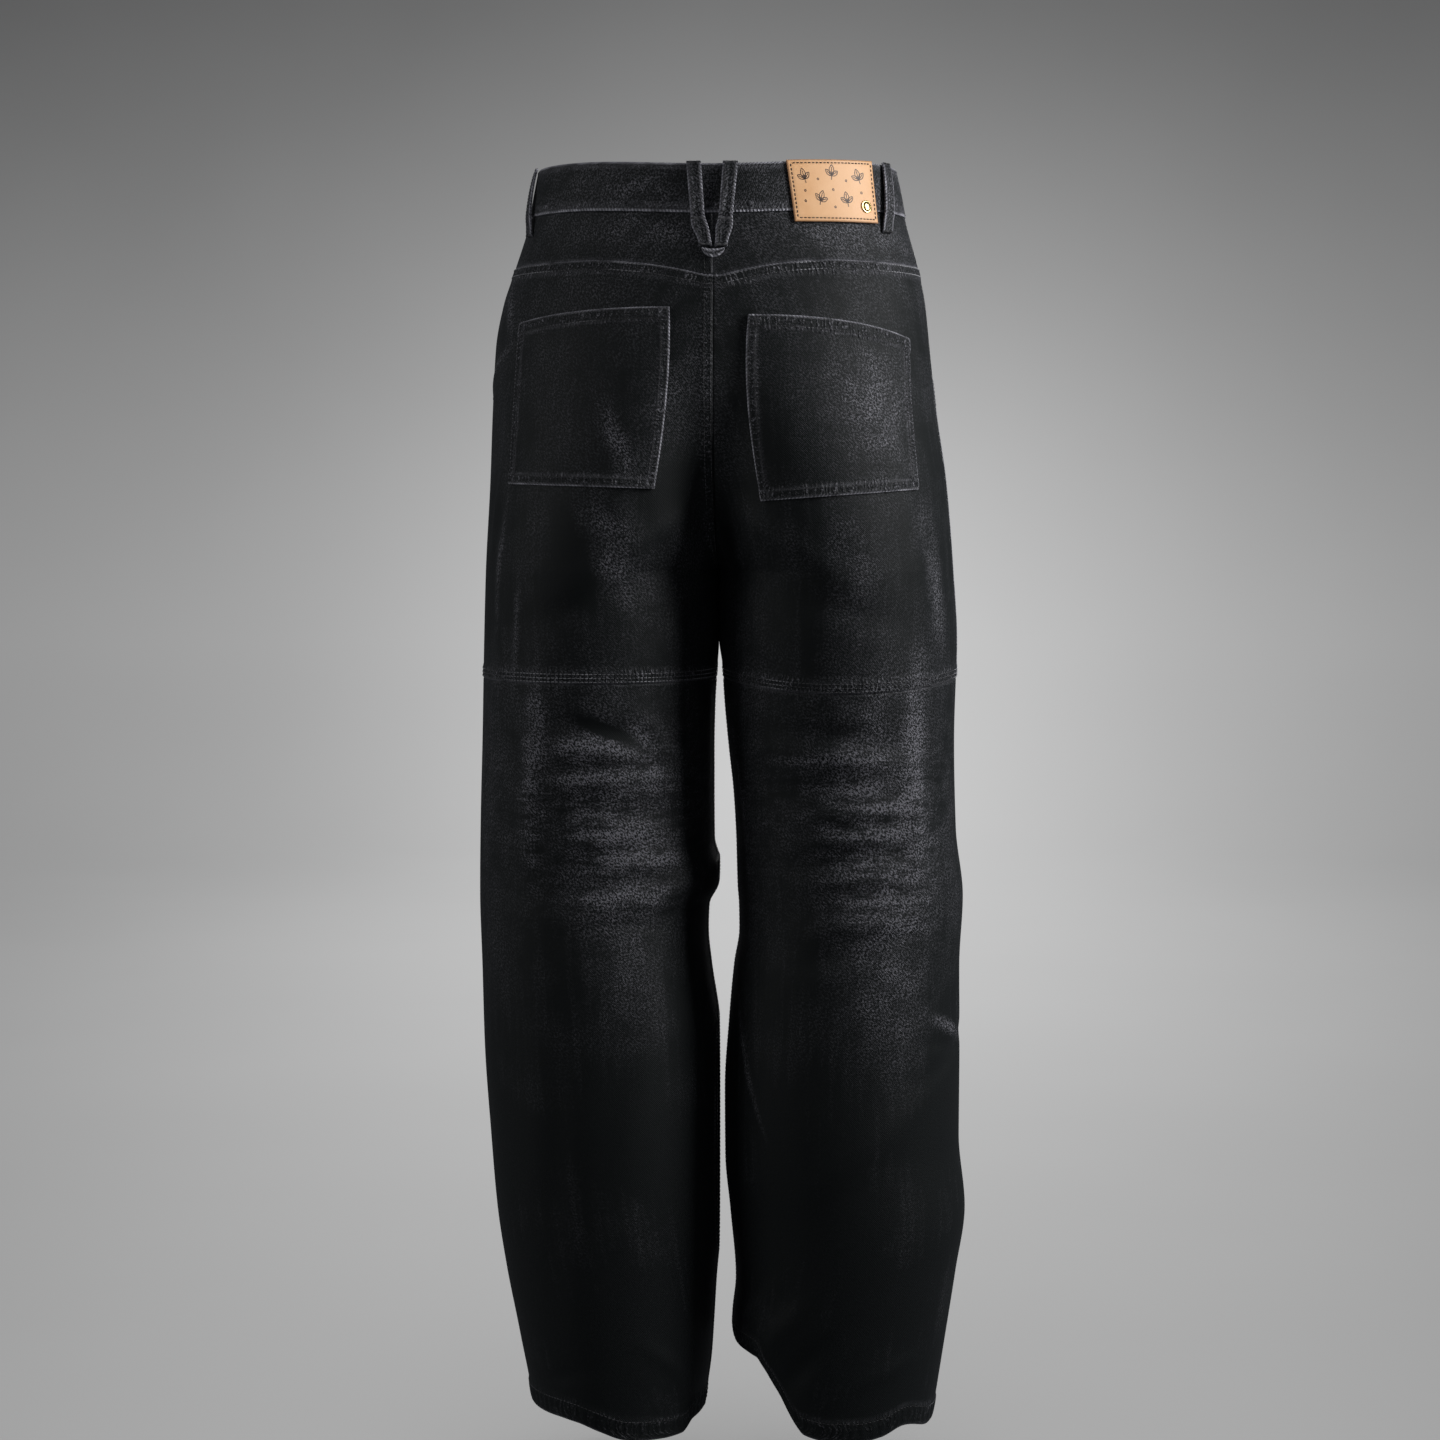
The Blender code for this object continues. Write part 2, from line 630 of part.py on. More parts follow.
def belt_loop(name, denim, leg, face, top, bottom, wide, foot, end):
    """A belt loop: a strip down the outside of the waistband, standing off it between its two ends."""
    along = np.linspace(0, 1, 9)[:, None]
    across = np.array([-0.5, 0.0, 0.5])[None, :]
    middle = top + (bottom - top) * along
    width = wide + (foot - wide) * along
    start = band_line(face * angle_at(leg, top, 0.0)) + BAND_HEIGHT + LOOP_OVER_TOP
    z = start + (end - start) * along + 0 * across
    centre, half = ring(leg, z)
    turn = np.arccos(np.clip((middle - centre) / half, -1, 1))
    drape = drape_point(leg, turn, z)
    ahead = drape_point(leg, turn + 1e-3, z)
    per_angle = np.linalg.norm(ahead - drape, axis=-1) / 1e-3
    angle = face * (turn + across * width / per_angle)
    stand = LOOP_STAND * np.sin(math.pi * along) ** 0.6
    seam = band_line(angle)
    over_band = smoothstep(seam - 0.012, seam, z)
    under = LAY_GAP + (BAND_PROUD + 0.0004) * over_band + stand
    outer = cloth_point(leg, angle, z, under + LOOP_CLOTH)
    inner = cloth_point(leg, angle, z, under)
    return wall(name, outer, inner, denim)


def loop_tip(denim):
    """The short turned end that joins the two middle loops at the centre back."""
    across = np.linspace(-1, 1, 9)[None, :]
    down = np.array([0.0, 0.5, 1.0])[:, None]
    half_width, rise, sag = 0.0103, 0.0048, 0.0036
    x = half_width * across + 0 * down
    z = -0.0400 - rise * down * np.sqrt(1.05 - across**2) - sag * (1 - across**2)
    out = np.abs(x)
    left = cloth_point("left", angle_at("left", out, z), z, 0.0)
    right = cloth_point("right", angle_at("right", out, z), z, 0.0)
    base = np.where((x >= 0)[..., None], left, right)
    base[..., 0] = x
    away = np.array([0.0, 1.0, 0.0])
    full = LAY_GAP + 0.0022 + 0.0012 * np.sin(math.pi * down) + 0 * x
    return wall("loop_tip", base + away * full[..., None], base + away * (LAY_GAP + 0.0002), denim)


# Leather patch on the wearer's right, behind, and the plain stud on it
PATCH = {
    "inner_top": (0.0587, 0.0322),
    "outer_top": (0.1281, 0.0358),
    "inner_low": (0.0662, -0.0184),
    "outer_low": (0.1337, -0.0167),
}
STUD_AT, STUD_Z = 0.1235, -0.0025
STUD_RADIUS, STUD_HEIGHT = 0.0055, 0.0022
BUTTON_AT, BUTTON_RADIUS, BUTTON_HEIGHT = 0.0150, 0.0085, 0.0034


def waist_patch(leather):
    """A rectangular leather patch, sewn over the waistband and the top of the yoke."""
    across, down = np.linspace(0, 1, 9)[None, :], np.linspace(0, 1, 5)[:, None]
    corner = {name: np.array(value) for name, value in PATCH.items()}
    top = corner["inner_top"] + (corner["outer_top"] - corner["inner_top"]) * across[..., None]
    low = corner["inner_low"] + (corner["outer_low"] - corner["inner_low"]) * across[..., None]
    out, z = np.moveaxis(top + (low - top) * down[..., None], -1, 0)
    girth = math.pi + math.pi / 2 - angle_at("right", out, z)
    lift = BAND_PROUD + 0.0002 + LAY_GAP
    outer = girth_point(girth, z, lift + LEATHER)
    return wall("waist_patch", outer, girth_point(girth, z, lift), leather)


def turned(name, place, axis, profile, material, sides=20):
    """A round piece: profile is pairs of radius and height along axis, from the middle of its face."""
    axis = np.array(axis) / np.linalg.norm(axis)
    side = np.cross(axis, [0.0, 0.0, 1.0])
    side /= np.linalg.norm(side)
    up = np.cross(side, axis)
    turns = np.linspace(0, 2 * math.pi, sides, endpoint=False)
    rings = [
        [place + axis * height + radius * (math.cos(t) * side + math.sin(t) * up) for t in turns]
        for radius, height in profile
    ]
    points = [p for one in rings for p in one]
    faces = [
        (r * sides + i, r * sides + (i + 1) % sides, (r + 1) * sides + (i + 1) % sides, (r + 1) * sides + i)
        for r in range(len(rings) - 1)
        for i in range(sides)
    ]
    faces += [tuple(range(sides)), tuple(range((len(rings) - 1) * sides, len(rings) * sides))]
    return solid(name, [tuple(p) for p in points], faces, material)


def stud(brass):
    """A plain domed stud on the leather patch."""
    z = np.array(STUD_Z)
    girth = 1.5 * math.pi - angle_at("right", STUD_AT, z)
    seat = BAND_PROUD + 0.0002 + LAY_GAP + LEATHER
    place = girth_point(girth, z, seat + LAY_GAP)
    axis = girth_point(girth, z, seat + 0.01) - girth_point(girth, z, seat)
    r, h = STUD_RADIUS, STUD_HEIGHT
    profile = ((r * 0.92, 0), (r, 0.2 * h), (r * 0.94, 0.5 * h), (r * 0.70, 0.85 * h), (r * 0.35, h))
    return turned("patch_stud", place, axis, profile, brass)


def waist_button(metal):
    """The shank button that closes the waistband, with its face dished."""
    girth = np.array(girth_of(BUTTON_AT))
    z = np.array(BAND_BOTTOM + BAND_HEIGHT / 2 - FRONT_DROP)
    seat = BAND_PROUD + 0.0002 + LAY_GAP
    place = girth_point(girth, z, seat)
    axis = girth_point(girth, z, seat + 0.01) - place
    r, h = BUTTON_RADIUS, BUTTON_HEIGHT
    shank = ((r * 0.45, 0), (r * 0.45, 0.35 * h))
    profile = (*shank, (r * 0.95, 0.4 * h), (r, 0.7 * h), (r * 0.9, h), (r * 0.6, 0.8 * h))
    return turned("waist_button", place, axis, profile, metal)


def fly_layer(name, left_edge, right_edge, end, lift, thickness, material):
    """A strip behind the closed fly, from the waistband down; x runs to the wearer's left."""
    x = np.linspace(right_edge, left_edge, 7)[None, :]
    top = BAND_BOTTOM - FRONT_DROP - SEAM_GAP
    z = np.linspace(top, end, 8)[:, None] + 0 * x
    x = x + 0 * z
    sides = {leg: -angle_at(leg, np.abs(x), z) for leg in LEGS}
    grids = []
    for away in (lift, lift - thickness):
        points = {leg: cloth_point(leg, sides[leg], z, away) for leg in LEGS}
        both = np.where((x >= 0)[..., None], points["left"], points["right"])
        both[..., 0] = x
        grids.append(both)
    return wall(name, grids[0], grids[1], material)


def build():
    for old in list(bpy.data.objects):
        bpy.data.objects.remove(old)
    denim = finish("black_denim", (0.020, 0.021, 0.024), 0.85)
    leather = finish("tan_leather", (0.62, 0.33, 0.16), 0.55)
    brass = finish("polished_brass", (0.85, 0.62, 0.25), 0.22, 1.0)
    gunmetal = finish("gunmetal", (0.16, 0.16, 0.17), 0.35, 1.0)
    tape = finish("zip_tape", (0.018, 0.018, 0.020), 0.8)

    waistband(denim)
    for leg in LEGS:
        yoke(leg, denim)
        back_upper(leg, denim)
        front_upper(leg, denim)
        pocket_facing(leg, denim)
        leg_lower(leg, 1, denim)
        leg_lower(leg, -1, denim)
        back_pocket(leg, denim)
    for name, loop in LOOPS.items():
        belt_loop(name, denim, *loop)
    loop_tip(denim)
    waist_patch(leather)
    stud(brass)
    waist_button(gunmetal)
    fly_layer("zip", 0.014, -0.014, FLY_END_Z + 0.012, -DENIM - LAY_GAP, 0.0010, tape)
    fly_layer("fly_shield", 0.036, -0.018, FLY_END_Z, -DENIM - 2 * LAY_GAP - 0.0010, DENIM, denim)


build()
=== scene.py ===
"""Looks of the wide-leg jeans: fine cloth shells, sewing, leather, metal and a plain studio.

Metres, +Z up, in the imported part's frame. The front faces -Y, the wearer's left is +X, and the photo
looks at the back. The cloth follows the same drape as the solids: a ring of points for each leg, given
by the angle from its side seam (positive behind, negative in front) and the height.
"""

import json
import math

import bpy
import numpy as np
from mathutils import Matrix

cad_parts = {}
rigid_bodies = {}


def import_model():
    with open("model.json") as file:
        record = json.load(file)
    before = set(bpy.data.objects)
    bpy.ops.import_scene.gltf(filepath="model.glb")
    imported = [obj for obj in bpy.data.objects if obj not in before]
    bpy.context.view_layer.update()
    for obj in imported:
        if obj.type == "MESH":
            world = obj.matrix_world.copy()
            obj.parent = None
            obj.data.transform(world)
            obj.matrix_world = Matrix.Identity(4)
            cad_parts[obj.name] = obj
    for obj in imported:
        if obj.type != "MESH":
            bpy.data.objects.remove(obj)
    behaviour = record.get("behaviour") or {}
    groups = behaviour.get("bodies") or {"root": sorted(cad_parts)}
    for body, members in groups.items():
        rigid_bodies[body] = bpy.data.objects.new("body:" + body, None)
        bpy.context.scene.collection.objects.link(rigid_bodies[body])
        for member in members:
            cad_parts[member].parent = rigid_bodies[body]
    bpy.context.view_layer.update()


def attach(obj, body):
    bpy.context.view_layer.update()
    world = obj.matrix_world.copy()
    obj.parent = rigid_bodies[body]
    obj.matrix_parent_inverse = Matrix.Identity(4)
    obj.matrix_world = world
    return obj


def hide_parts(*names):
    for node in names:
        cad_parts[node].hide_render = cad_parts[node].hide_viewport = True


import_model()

LEGS = {"left": 1, "right": -1}

# Cloth and gaps, as in the solids
DENIM = 0.0014
BAND_CLOTH = 0.0026
LOOP_CLOTH = 0.0018
LEATHER = 0.0018
SEAM_GAP = 0.0003
HALF_GAP = SEAM_GAP / 2
LAY_GAP = 0.0005
BAND_BOTTOM = -0.0055
BAND_HEIGHT = 0.0405
BAND_PROUD = 0.0010
BACK_DIP = 0.0055
FRONT_DROP = 0.0180
YOKE_Z = -0.0482
YOKE_POINT = 0.0142
FORK_Z = -0.030
FORK_POWER = 1.6
CROTCH_Z = -0.305
VALLEY = 0.034
THIGH_SEAM_Z = -0.3990
THIGH_SEAM_DIP = {"left": 0.0, "right": 0.0080}
POCKET_END_Z = -0.146
SCOOP_ANGLE = math.radians(53)
FACING_END_Z = -0.162
FACING_UNDER = 0.10
FACING_GAP = 0.0013
FACING_RISE = 0.0040
# The angle at which a front piece starts beside the side seam
SIDE_EDGE = HALF_GAP / 0.11
LAP = 0.0040
LAP_LIFT = 0.0022
UNDER_END = 0.036
FLY_END_Z = -0.190
HEM_DEPTH = 0.018

# The scene's own rolled edges, and how much wider the backs of its panels are
ROLL = 0.0006
ROLL_REACH = 0.0007
SEAM_OVERLAP = 0.0003

# Turns an angle into a distance along a patch, and where the knees lie
FOLD_RADIUS = 0.105
KNEE_Z, KNEE_REACH = -0.535, 0.095

# Columns that aren't in millimetres
PLAIN = {"leg", "angle", "lean", "strength", "share"}


def table(columns, text):
    """A table's columns by name, written in degrees and millimetres and given back in metres."""
    names = columns.split()
    rows = np.array(text.split(), float).reshape(-1, len(names))
    return {name: column if name in PLAIN else column / 1000 for name, column in zip(names, rows.T)}


OUTER = table(
    "z left right",
    """
40 153.5 150
30 155 152
-10 163.2 160.5
-50 176 171.5
-80 186 177.5
-115 192.5 181.2
-170 195.5 187.2
-230 197.8 196
-305 202 202.5
-370 204.2 206.2
-450 206.2 204.5
-530 208.6 206.5
-590 209.4 213
-650 207.8 210.3
-720 206.2 211
-800 201.1 210.8
-865 196 216.5
-920 188 209
-980 176.5 200
-1045 165.5 190
-1075 164 185
""",
)
INNER = table(
    "z left right",
    """
-305 0.2 0.2
-366 0.3 0.4
-390 1.7 3.5
-420 3.6 5.5
-460 4.5 9.2
-500 4.5 13.5
-540 4.2 15.8
-566 -2.4 16.5
-582 1 17
-598 8.8 18.2
-620 9.6 18.5
-650 6.8 14
-700 -0.4 9.5
-760 -3.8 5.8
-820 -4 6.2
-870 -2.8 10.8
-930 2.4 15.6
-965 4.5 12.4
-1000 6.8 18
-1045 12.5 30
-1075 14 34
""",
)
DEPTH = table(
    "z back front",
    """
40 103.5 103.5
30 105 104.5
-10 111 109
-60 120.5 113
-120 130 116
-190 136.5 116.5
-260 134 115
-305 129 114
-400 117.5 111.5
-500 106 110
-580 101 111
-660 103 108
-760 102.5 103
-860 96.5 97
-960 88.5 90
-1075 80 83
""",
)
HEM = table(
    "angle left right",
    """
-180 -1045 -985
-140 -1043 -1000
-90 -1040 -1030
-45 -1039.5 -1047
0 -1039 -1051
20 -1038.5 -1051.5
50 -1038.2 -1043
66 -1040 -1050
82 -1046.5 -1053
98 -1053.5 -1053
115 -1055.5 -1049.5
121 -1055.8 -1040.5
129 -1056.2 -1016.5
141 -1056 -987
153 -1047 -985.5
180 -1045 -985
""",
)

# Folds of the solids: leg, or 0 for both, place, slope, half extents and height, negative for a trough
FOLDS = table(
    "leg angle z lean length width depth",
    """
1 96 -438 -8 50 9 -3
1 94 -456 -6 50 10 3
1 126 -446 -48 28 8 2.2
1 100 -483 2 52 10 2.4
1 108 -507 -3 50 11 -2.8
1 98 -533 14 34 9 2.8
1 118 -551 12 36 9 2.6
1 104 -570 8 42 9 -2.2
1 108 -590 10 44 10 2.4
1 60 -500 86 85 12 2.2
1 84 -560 80 60 12 -2
-1 92 -442 4 50 10 -2.8
-1 88 -462 6 52 10 2.6
-1 96 -486 -4 46 10 -2.4
-1 84 -508 -8 48 9 2.6
-1 90 -531 -6 46 9 2.4
-1 92 -548 -4 46 9 -2.2
-1 90 -566 -4 46 9 2.2
-1 84 -600 -8 48 10 2.4
-1 88 -628 -10 42 10 -2.2
-1 52 -530 88 120 13 2.8
-1 22 -722 -20 40 9 -3
1 112 -275 40 60 14 2.6
1 92 -330 20 60 15 -2.2
1 44 -300 84 110 12 2
-1 112 -275 40 60 14 2.6
-1 88 -335 14 60 15 -2.2
-1 48 -290 84 110 12 2
1 118 -700 74 110 16 2.4
1 70 -800 84 130 16 -2
-1 74 -790 -38 60 16 2.6
-1 128 -965 -46 45 12 3.4
-1 112 -990 -40 40 11 -3
0 -112 -225 -24 52 10 2.4
0 -116 -262 -12 52 10 -2.2
0 -112 -300 4 55 11 2.4
0 -96 -470 4 55 13 2.6
0 -100 -530 -6 55 14 -2.4
0 -92 -590 5 55 14 2.8
0 -62 -720 82 120 16 2.4
0 -118 -830 80 110 15 -2.2
0 -88 -985 8 60 14 3
""",
)

# Smaller creases over the folds
CREASES = table(
    "leg angle z lean length width depth",
    """
1 88 -447.5 -4 34 4.2 -1
1 100 -469 3 40 4.5 -1.2
1 118 -462 -30 22 4.5 -1
1 96 -493 4 36 4.5 -1.1
1 106 -520 -6 34 4.2 0.9
1 98 -541 6 36 4.5 -1.1
1 114 -561 2 34 4.2 -1
1 100 -580 6 36 4.5 0.9
1 112 -604 -8 36 5 -1.1
1 142 -572 12 22 6 2.2
1 150 -590 -14 20 6 -2.2
1 22 -480 76 60 6 1.2
1 36 -305 88 60 5 1.4
1 45 -320 90 60 5 -1
1 52 -360 87 45 4.5 1.2
1 28 -250 82 50 5.5 1.3
-1 80 -452 2 38 4.5 -1.1
-1 92 -474 -2 38 4.5 -1.1
-1 76 -496 -6 38 4.2 -1.1
-1 84 -519 -2 40 4.2 -1.1
-1 82 -540 3 38 4.2 -1
-1 78 -556 -3 34 4 0.9
-1 80 -574.5 2 40 4.2 -1.1
-1 72 -593 -5 38 4.2 -1
-1 74 -614 -3 40 4.5 -1
-1 157 -490 82 70 5 1.6
-1 147 -720 66 75 6 1.6
-1 24 -700 24 34 5 1.6
-1 30 -712 10 30 4.5 -1.4
1 22 -90 -66 26 4 1.2
1 10 -142 40 36 4 1
1 134 -342 62 30 7 1.6
-1 132 -350 66 34 7 1.6
1 96 -260 -52 40 9 1.4
-1 96 -264 -46 40 9 1.2
1 128 -990 -32 34 8 1.6
1 60 -1000 14 36 7 -1.2
-1 60 -990 -16 38 8 1.4
-1 146 -945 -38 30 7 2
-1 136 -972 -58 26 6 -1.8
0 -124 -243 -18 36 5.5 1.2
0 -104 -284 -4 34 5 -1.1
0 -92 -448 6 36 5.5 -1.2
0 -104 -498 -4 38 5.5 1.2
0 -86 -556 5 36 5.5 -1.2
0 -98 -618 -7 36 5.5 1.2
0 -80 -1000 6 36 7 -1.4
""",
)

# Worn places mixed with painted highlights where the key light falls, in the same way, with a strength that is
# negative for painted shade in creases, where the cloth stays dark
FADES_AND_PAINTED_LIGHT = table(
    "leg angle z lean length width strength",
    """
1 93 -454 1 34 8.5 1
1 95 -478 0 30 5 0.8
1 125 -477 -3 13 6.6 0.6
1 118 -445 -49 20 5 0.45
1 105 -529 0 35 7.4 1
1 113 -547 -2 34 6.6 0.8
1 110 -579 -1 36 8.5 0.55
1 63 -469 89 72 11 0.52
1 104 -515 88 85 46 0.38
1 112 -655 85 48 30 0.16
1 103 -443 -24 30 6 -0.6
1 37 -300 88 52 3.4 0.28
1 51 -356 87 40 3.4 0.26
-1 53 -473 -87 74 11 1
-1 87 -463 0 42 5.7 0.65
-1 88 -486 0 28 5.7 0.55
-1 63 -503 3 30 5.7 0.75
-1 77 -525 1 43 4.9 0.55
-1 80 -563 1 34 4.5 0.5
-1 76 -583 2 39 5.7 0.55
-1 64 -604 3 33 5.7 0.5
-1 74 -530 88 115 50 0.34
-1 64 -671 86 60 40 0.15
-1 28 -697 22 31 4.5 0.5
-1 157 -489 83 64 2.8 0.4
-1 147 -719 65 70 2.8 0.3
1 82 -196 -60 31 6 0.4
1 101 -294 -57 46 17 0.4
1 96 -165 90 55 20 0.12
1 78 -292 -64 46 10 -0.16
-1 80 -300 -82 45 20 0.2
-1 55 -177 -84 56 26 0.36
-1 36 -313 85 55 11 0.35
1 22 -87 -66 25 3.5 0.35
1 8 -141 33 41 3.5 0.3
-1 44 -25 1 54 17 0.27
1 68 -25 -5 34 13 0.3
0 -70 -330 88 150 42 0.3
0 -80 -500 88 110 45 0.28
0 -112 -225 -24 48 6 0.5
0 -112 -300 4 48 6 0.5
0 -96 -470 4 50 7 0.5
0 -92 -590 5 50 7 0.5
""",
)

# The cloth's tone at each height, apart from its fades: paler at the top and round the knees, darker towards
# the hems
TONE_BY_HEIGHT = table(
    "z share",
    """
40 0.07
-60 0.06
-200 0.01
-360 0.02
-480 0.07
-660 0
-850 -0.06
-1060 -0.07
""",
)


def smoothstep(low, high, value):
    share = np.clip((value - low) / (high - low), 0, 1)
    return share * share * (3 - 2 * share)


def bell(away, width):
    """A soft bump, 1 at its middle and about a third at this width from it."""
    return np.exp(-((away / width) ** 2))


def unit(vectors):
    return vectors / np.linalg.norm(vectors, axis=-1, keepdims=True)


def pair(first, second):
    """Two grids as one grid of pairs."""
    return np.stack(np.broadcast_arrays(first, second), axis=-1)


def smooth(rows, name, at, key="z"):
    """A column's value at a height or angle, on a curve through the rows that never overshoots them."""
    order = np.argsort(rows[key])
    x, y = rows[key][order], rows[name][order]
    step = np.diff(x)
    slope = np.diff(y) / step
    product, total = slope[:-1] * slope[1:], slope[:-1] + slope[1:]
    tangent = np.zeros(len(x))
    tangent[1:-1] = np.where(product > 0, 2 * product / np.where(product > 0, total, 1), 0)
    at = np.clip(at, x[0], x[-1])
    i = np.clip(np.searchsorted(x, at) - 1, 0, len(step) - 1)
    t = (at - x[i]) / step[i]
    ease = t * t * (3 - 2 * t)
    start = tangent[i] * step[i] * t * (1 - t) ** 2
    end = tangent[i + 1] * step[i] * t * t * (1 - t)
    return y[i] + (y[i + 1] - y[i]) * ease + start - end


def crotch_share(z):
    return np.clip((FORK_Z - z) / (FORK_Z - CROTCH_Z), 0, 1) ** FORK_POWER


def ring(leg, z):
    """Centre and half width of a leg's ring, measured outwards from the middle of the body."""
    outer = smooth(OUTER, leg, z)
    share = crotch_share(z)
    inner = np.where(z > CROTCH_Z, outer * (share - 1) / (share + 1), smooth(INNER, leg, z))
    return (outer + inner) / 2, (outer - inner) / 2


def drape_point(leg, angle, z):
    """The cloth's outer surface before its folds."""
    angle, z = np.broadcast_arrays(np.asarray(angle, float), np.asarray(z, float))
    centre, half = ring(leg, z)
    depth = np.where(angle > 0, smooth(DEPTH, "back", z), smooth(DEPTH, "front", z))
    out = centre + half * np.cos(angle)
    share = np.where(z > CROTCH_Z, crotch_share(z), 0)
    parting = np.sqrt(1 - share * share) + 1e-6
    rounding = depth * share * parting / half * out * bell(out, VALLEY * parting)
    y = depth * np.sin(angle) - np.sign(angle) * rounding
    return np.stack([LEGS[leg] * out, y, z], axis=-1)


def outward(leg, angle, z, step=1e-4):
    """Unit normal of the drape, pointing away from the wearer."""
    across = drape_point(leg, angle + step, z) - drape_point(leg, angle - step, z)
    up = drape_point(leg, angle, z + step) - drape_point(leg, angle, z - step)
    return unit(np.cross(across, up) * LEGS[leg])


def patches(rows, name, leg, angle, z, power=1.0):
    """The sum of a table's soft patches, each an ellipse on the leg's cloth."""
    total = np.zeros(np.broadcast(angle, z).shape)
    for i in np.flatnonzero(rows["leg"] != -LEGS[leg]):
        arc = (angle - np.radians(rows["angle"][i])) * FOLD_RADIUS
        rise = z - rows["z"][i]
        lean = np.radians(rows["lean"][i])
        along = arc * np.cos(lean) + rise * np.sin(lean)
        across = rise * np.cos(lean) - arc * np.sin(lean)
        spread = (along / rows["length"][i]) ** 2 + (across / rows["width"][i]) ** 2
        total = total + rows[name][i] * np.exp(-(spread**power))
    return total


def cloth_point(leg, angle, z, lift=0.0):
    """A point on the cloth's outer surface, moved out by lift. Its folds end at the centre seams."""
    angle, z = np.broadcast_arrays(np.asarray(angle, float), np.asarray(z, float))
    centre, half = ring(leg, z)
    folds = patches(FOLDS, "depth", leg, angle, z) + patches(CREASES, "depth", leg, angle, z)
    away = folds * smoothstep(0.004, 0.040, centre + half * np.cos(angle)) + lift
    return drape_point(leg, angle, z) + outward(leg, angle, z) * away[..., None]


def angle_at(leg, out, z):
    """The angle from the side seam of cloth that lies this far from the middle of the body."""
    centre, half = ring(leg, z)
    return np.arccos(np.clip((out - centre) / half, -1, 1))


def edge_angle(leg, z, edge=HALF_GAP):
    """The angle where a ring reaches the centre seam, or the inseam below the crotch."""
    return np.minimum(angle_at(leg, edge, z), math.pi - HALF_GAP / smooth(DEPTH, "back", z))


def across_middle(face, x, z, lift=0.0):
    """Cloth behind (face 1) or in front (-1) on both sides of the middle of the body."""
    left, right = (cloth_point(leg, face * angle_at(leg, np.abs(x), z), z, lift) for leg in LEGS)
    points = np.where((x >= 0)[..., None], left, right)
    points[..., 0] = x
    return points


def band_line(angle):
    """Height of the waistband's lower edge."""
    return BAND_BOTTOM - np.where(angle < 0, FRONT_DROP * np.sin(angle) ** 2, BACK_DIP * np.sin(angle) ** 6)


def yoke_line(angle):
    return YOKE_Z - YOKE_POINT * np.clip(1 - np.cos(angle) / 0.62, 0, 1) ** 1.8


def thigh_line(leg, angle):
    return THIGH_SEAM_Z - THIGH_SEAM_DIP[leg] * np.sin(angle) ** 2


def hem_line(leg, angle):
    return smooth(HEM, leg, np.degrees(angle), key="angle")


def scoop_angle(z):
    """How far the front pocket's mouth is from the side seam, as an angle."""
    share = np.clip((BAND_BOTTOM - z) / (BAND_BOTTOM - POCKET_END_Z), 0, 1)
    return SCOOP_ANGLE * (1 - share**2)


def lap_lift(out, z):
    """How far the lap of the fly stands off at a distance from the middle of the body."""
    upward = smoothstep(FLY_END_Z - 0.024, FLY_END_Z, z)
    return LAP_LIFT * upward * (1 - smoothstep(0.004, 0.030, out))


def girth_of(out, half=0.158):
    """The turn round the girth from the centre front to a place this far from the middle."""
    return math.asin(out / half)


def girth_angle(girth):
    """The angle from the nearer side seam of a place on the girth, where 0 is the centre front."""
    turn = np.mod(girth, math.tau)
    return np.where(turn < math.pi, turn - math.pi / 2, 1.5 * math.pi - turn)


def on_girth(of_leg, girth, z, *more):
    """What a function of a leg, an angle and a height gives at a place on the girth."""
    turn = np.mod(girth, math.tau)
    left = of_leg("left", turn - math.pi / 2, z, *more)
    right = of_leg("right", 1.5 * math.pi - turn, z, *more)
    on_left = turn < math.pi
    return np.where(on_left[..., None] if left.ndim > on_left.ndim else on_left, left, right)


def fades_and_painted_light(leg, angle, z, power=1.0):
    """How worn the cloth is in its worn places, with painted highlights and painted shade mixed in."""
    return patches(FADES_AND_PAINTED_LIGHT, "strength", leg, angle, z, power)


# ---------------------------------------------------------------- grids and meshes


def spaced(length, step, near=(0.0005, 0.0011, 0.0019, 0.0030), extra=()):
    """Shares from 0 to 1 of a length, close together at both ends and around extra places."""
    count = max(len(np.arange(near[-1] + step, length - near[-1] - step / 2, step)), 1)
    inside = np.linspace(near[-1] + step, length - near[-1] - step, count)
    places = np.concatenate([[0, *near], inside, length - np.array([*near[::-1], 0.0])])
    if len(extra):
        apart = np.min(np.abs(places[:, None] - extra[None, :]), axis=1) > step * 0.3
        places = np.sort(np.concatenate([places[apart], extra]))
    return places / length


EDGES = ("top", "bottom", "start", "end")


def running(points, axis=0):
    """Distance along a path, or along a grid's columns or rows, from its first point."""
    steps = np.linalg.norm(np.diff(points, axis=axis), axis=-1)
    return np.insert(np.cumsum(steps, axis=axis), 0, 0.0, axis=axis)


def edge_distances(points):
    """Distance of each point of a grid from its four edges, and its place along them."""
    across, down = running(points, 1), running(points)
    away = (down, down[-1] - down, across, across[:, -1:] - across)
    return dict(zip(EDGES, zip(away, (across, across, down, down))))


def nearest_edge(points):
    return np.minimum.reduce([away for away, _ in edge_distances(points).values()])


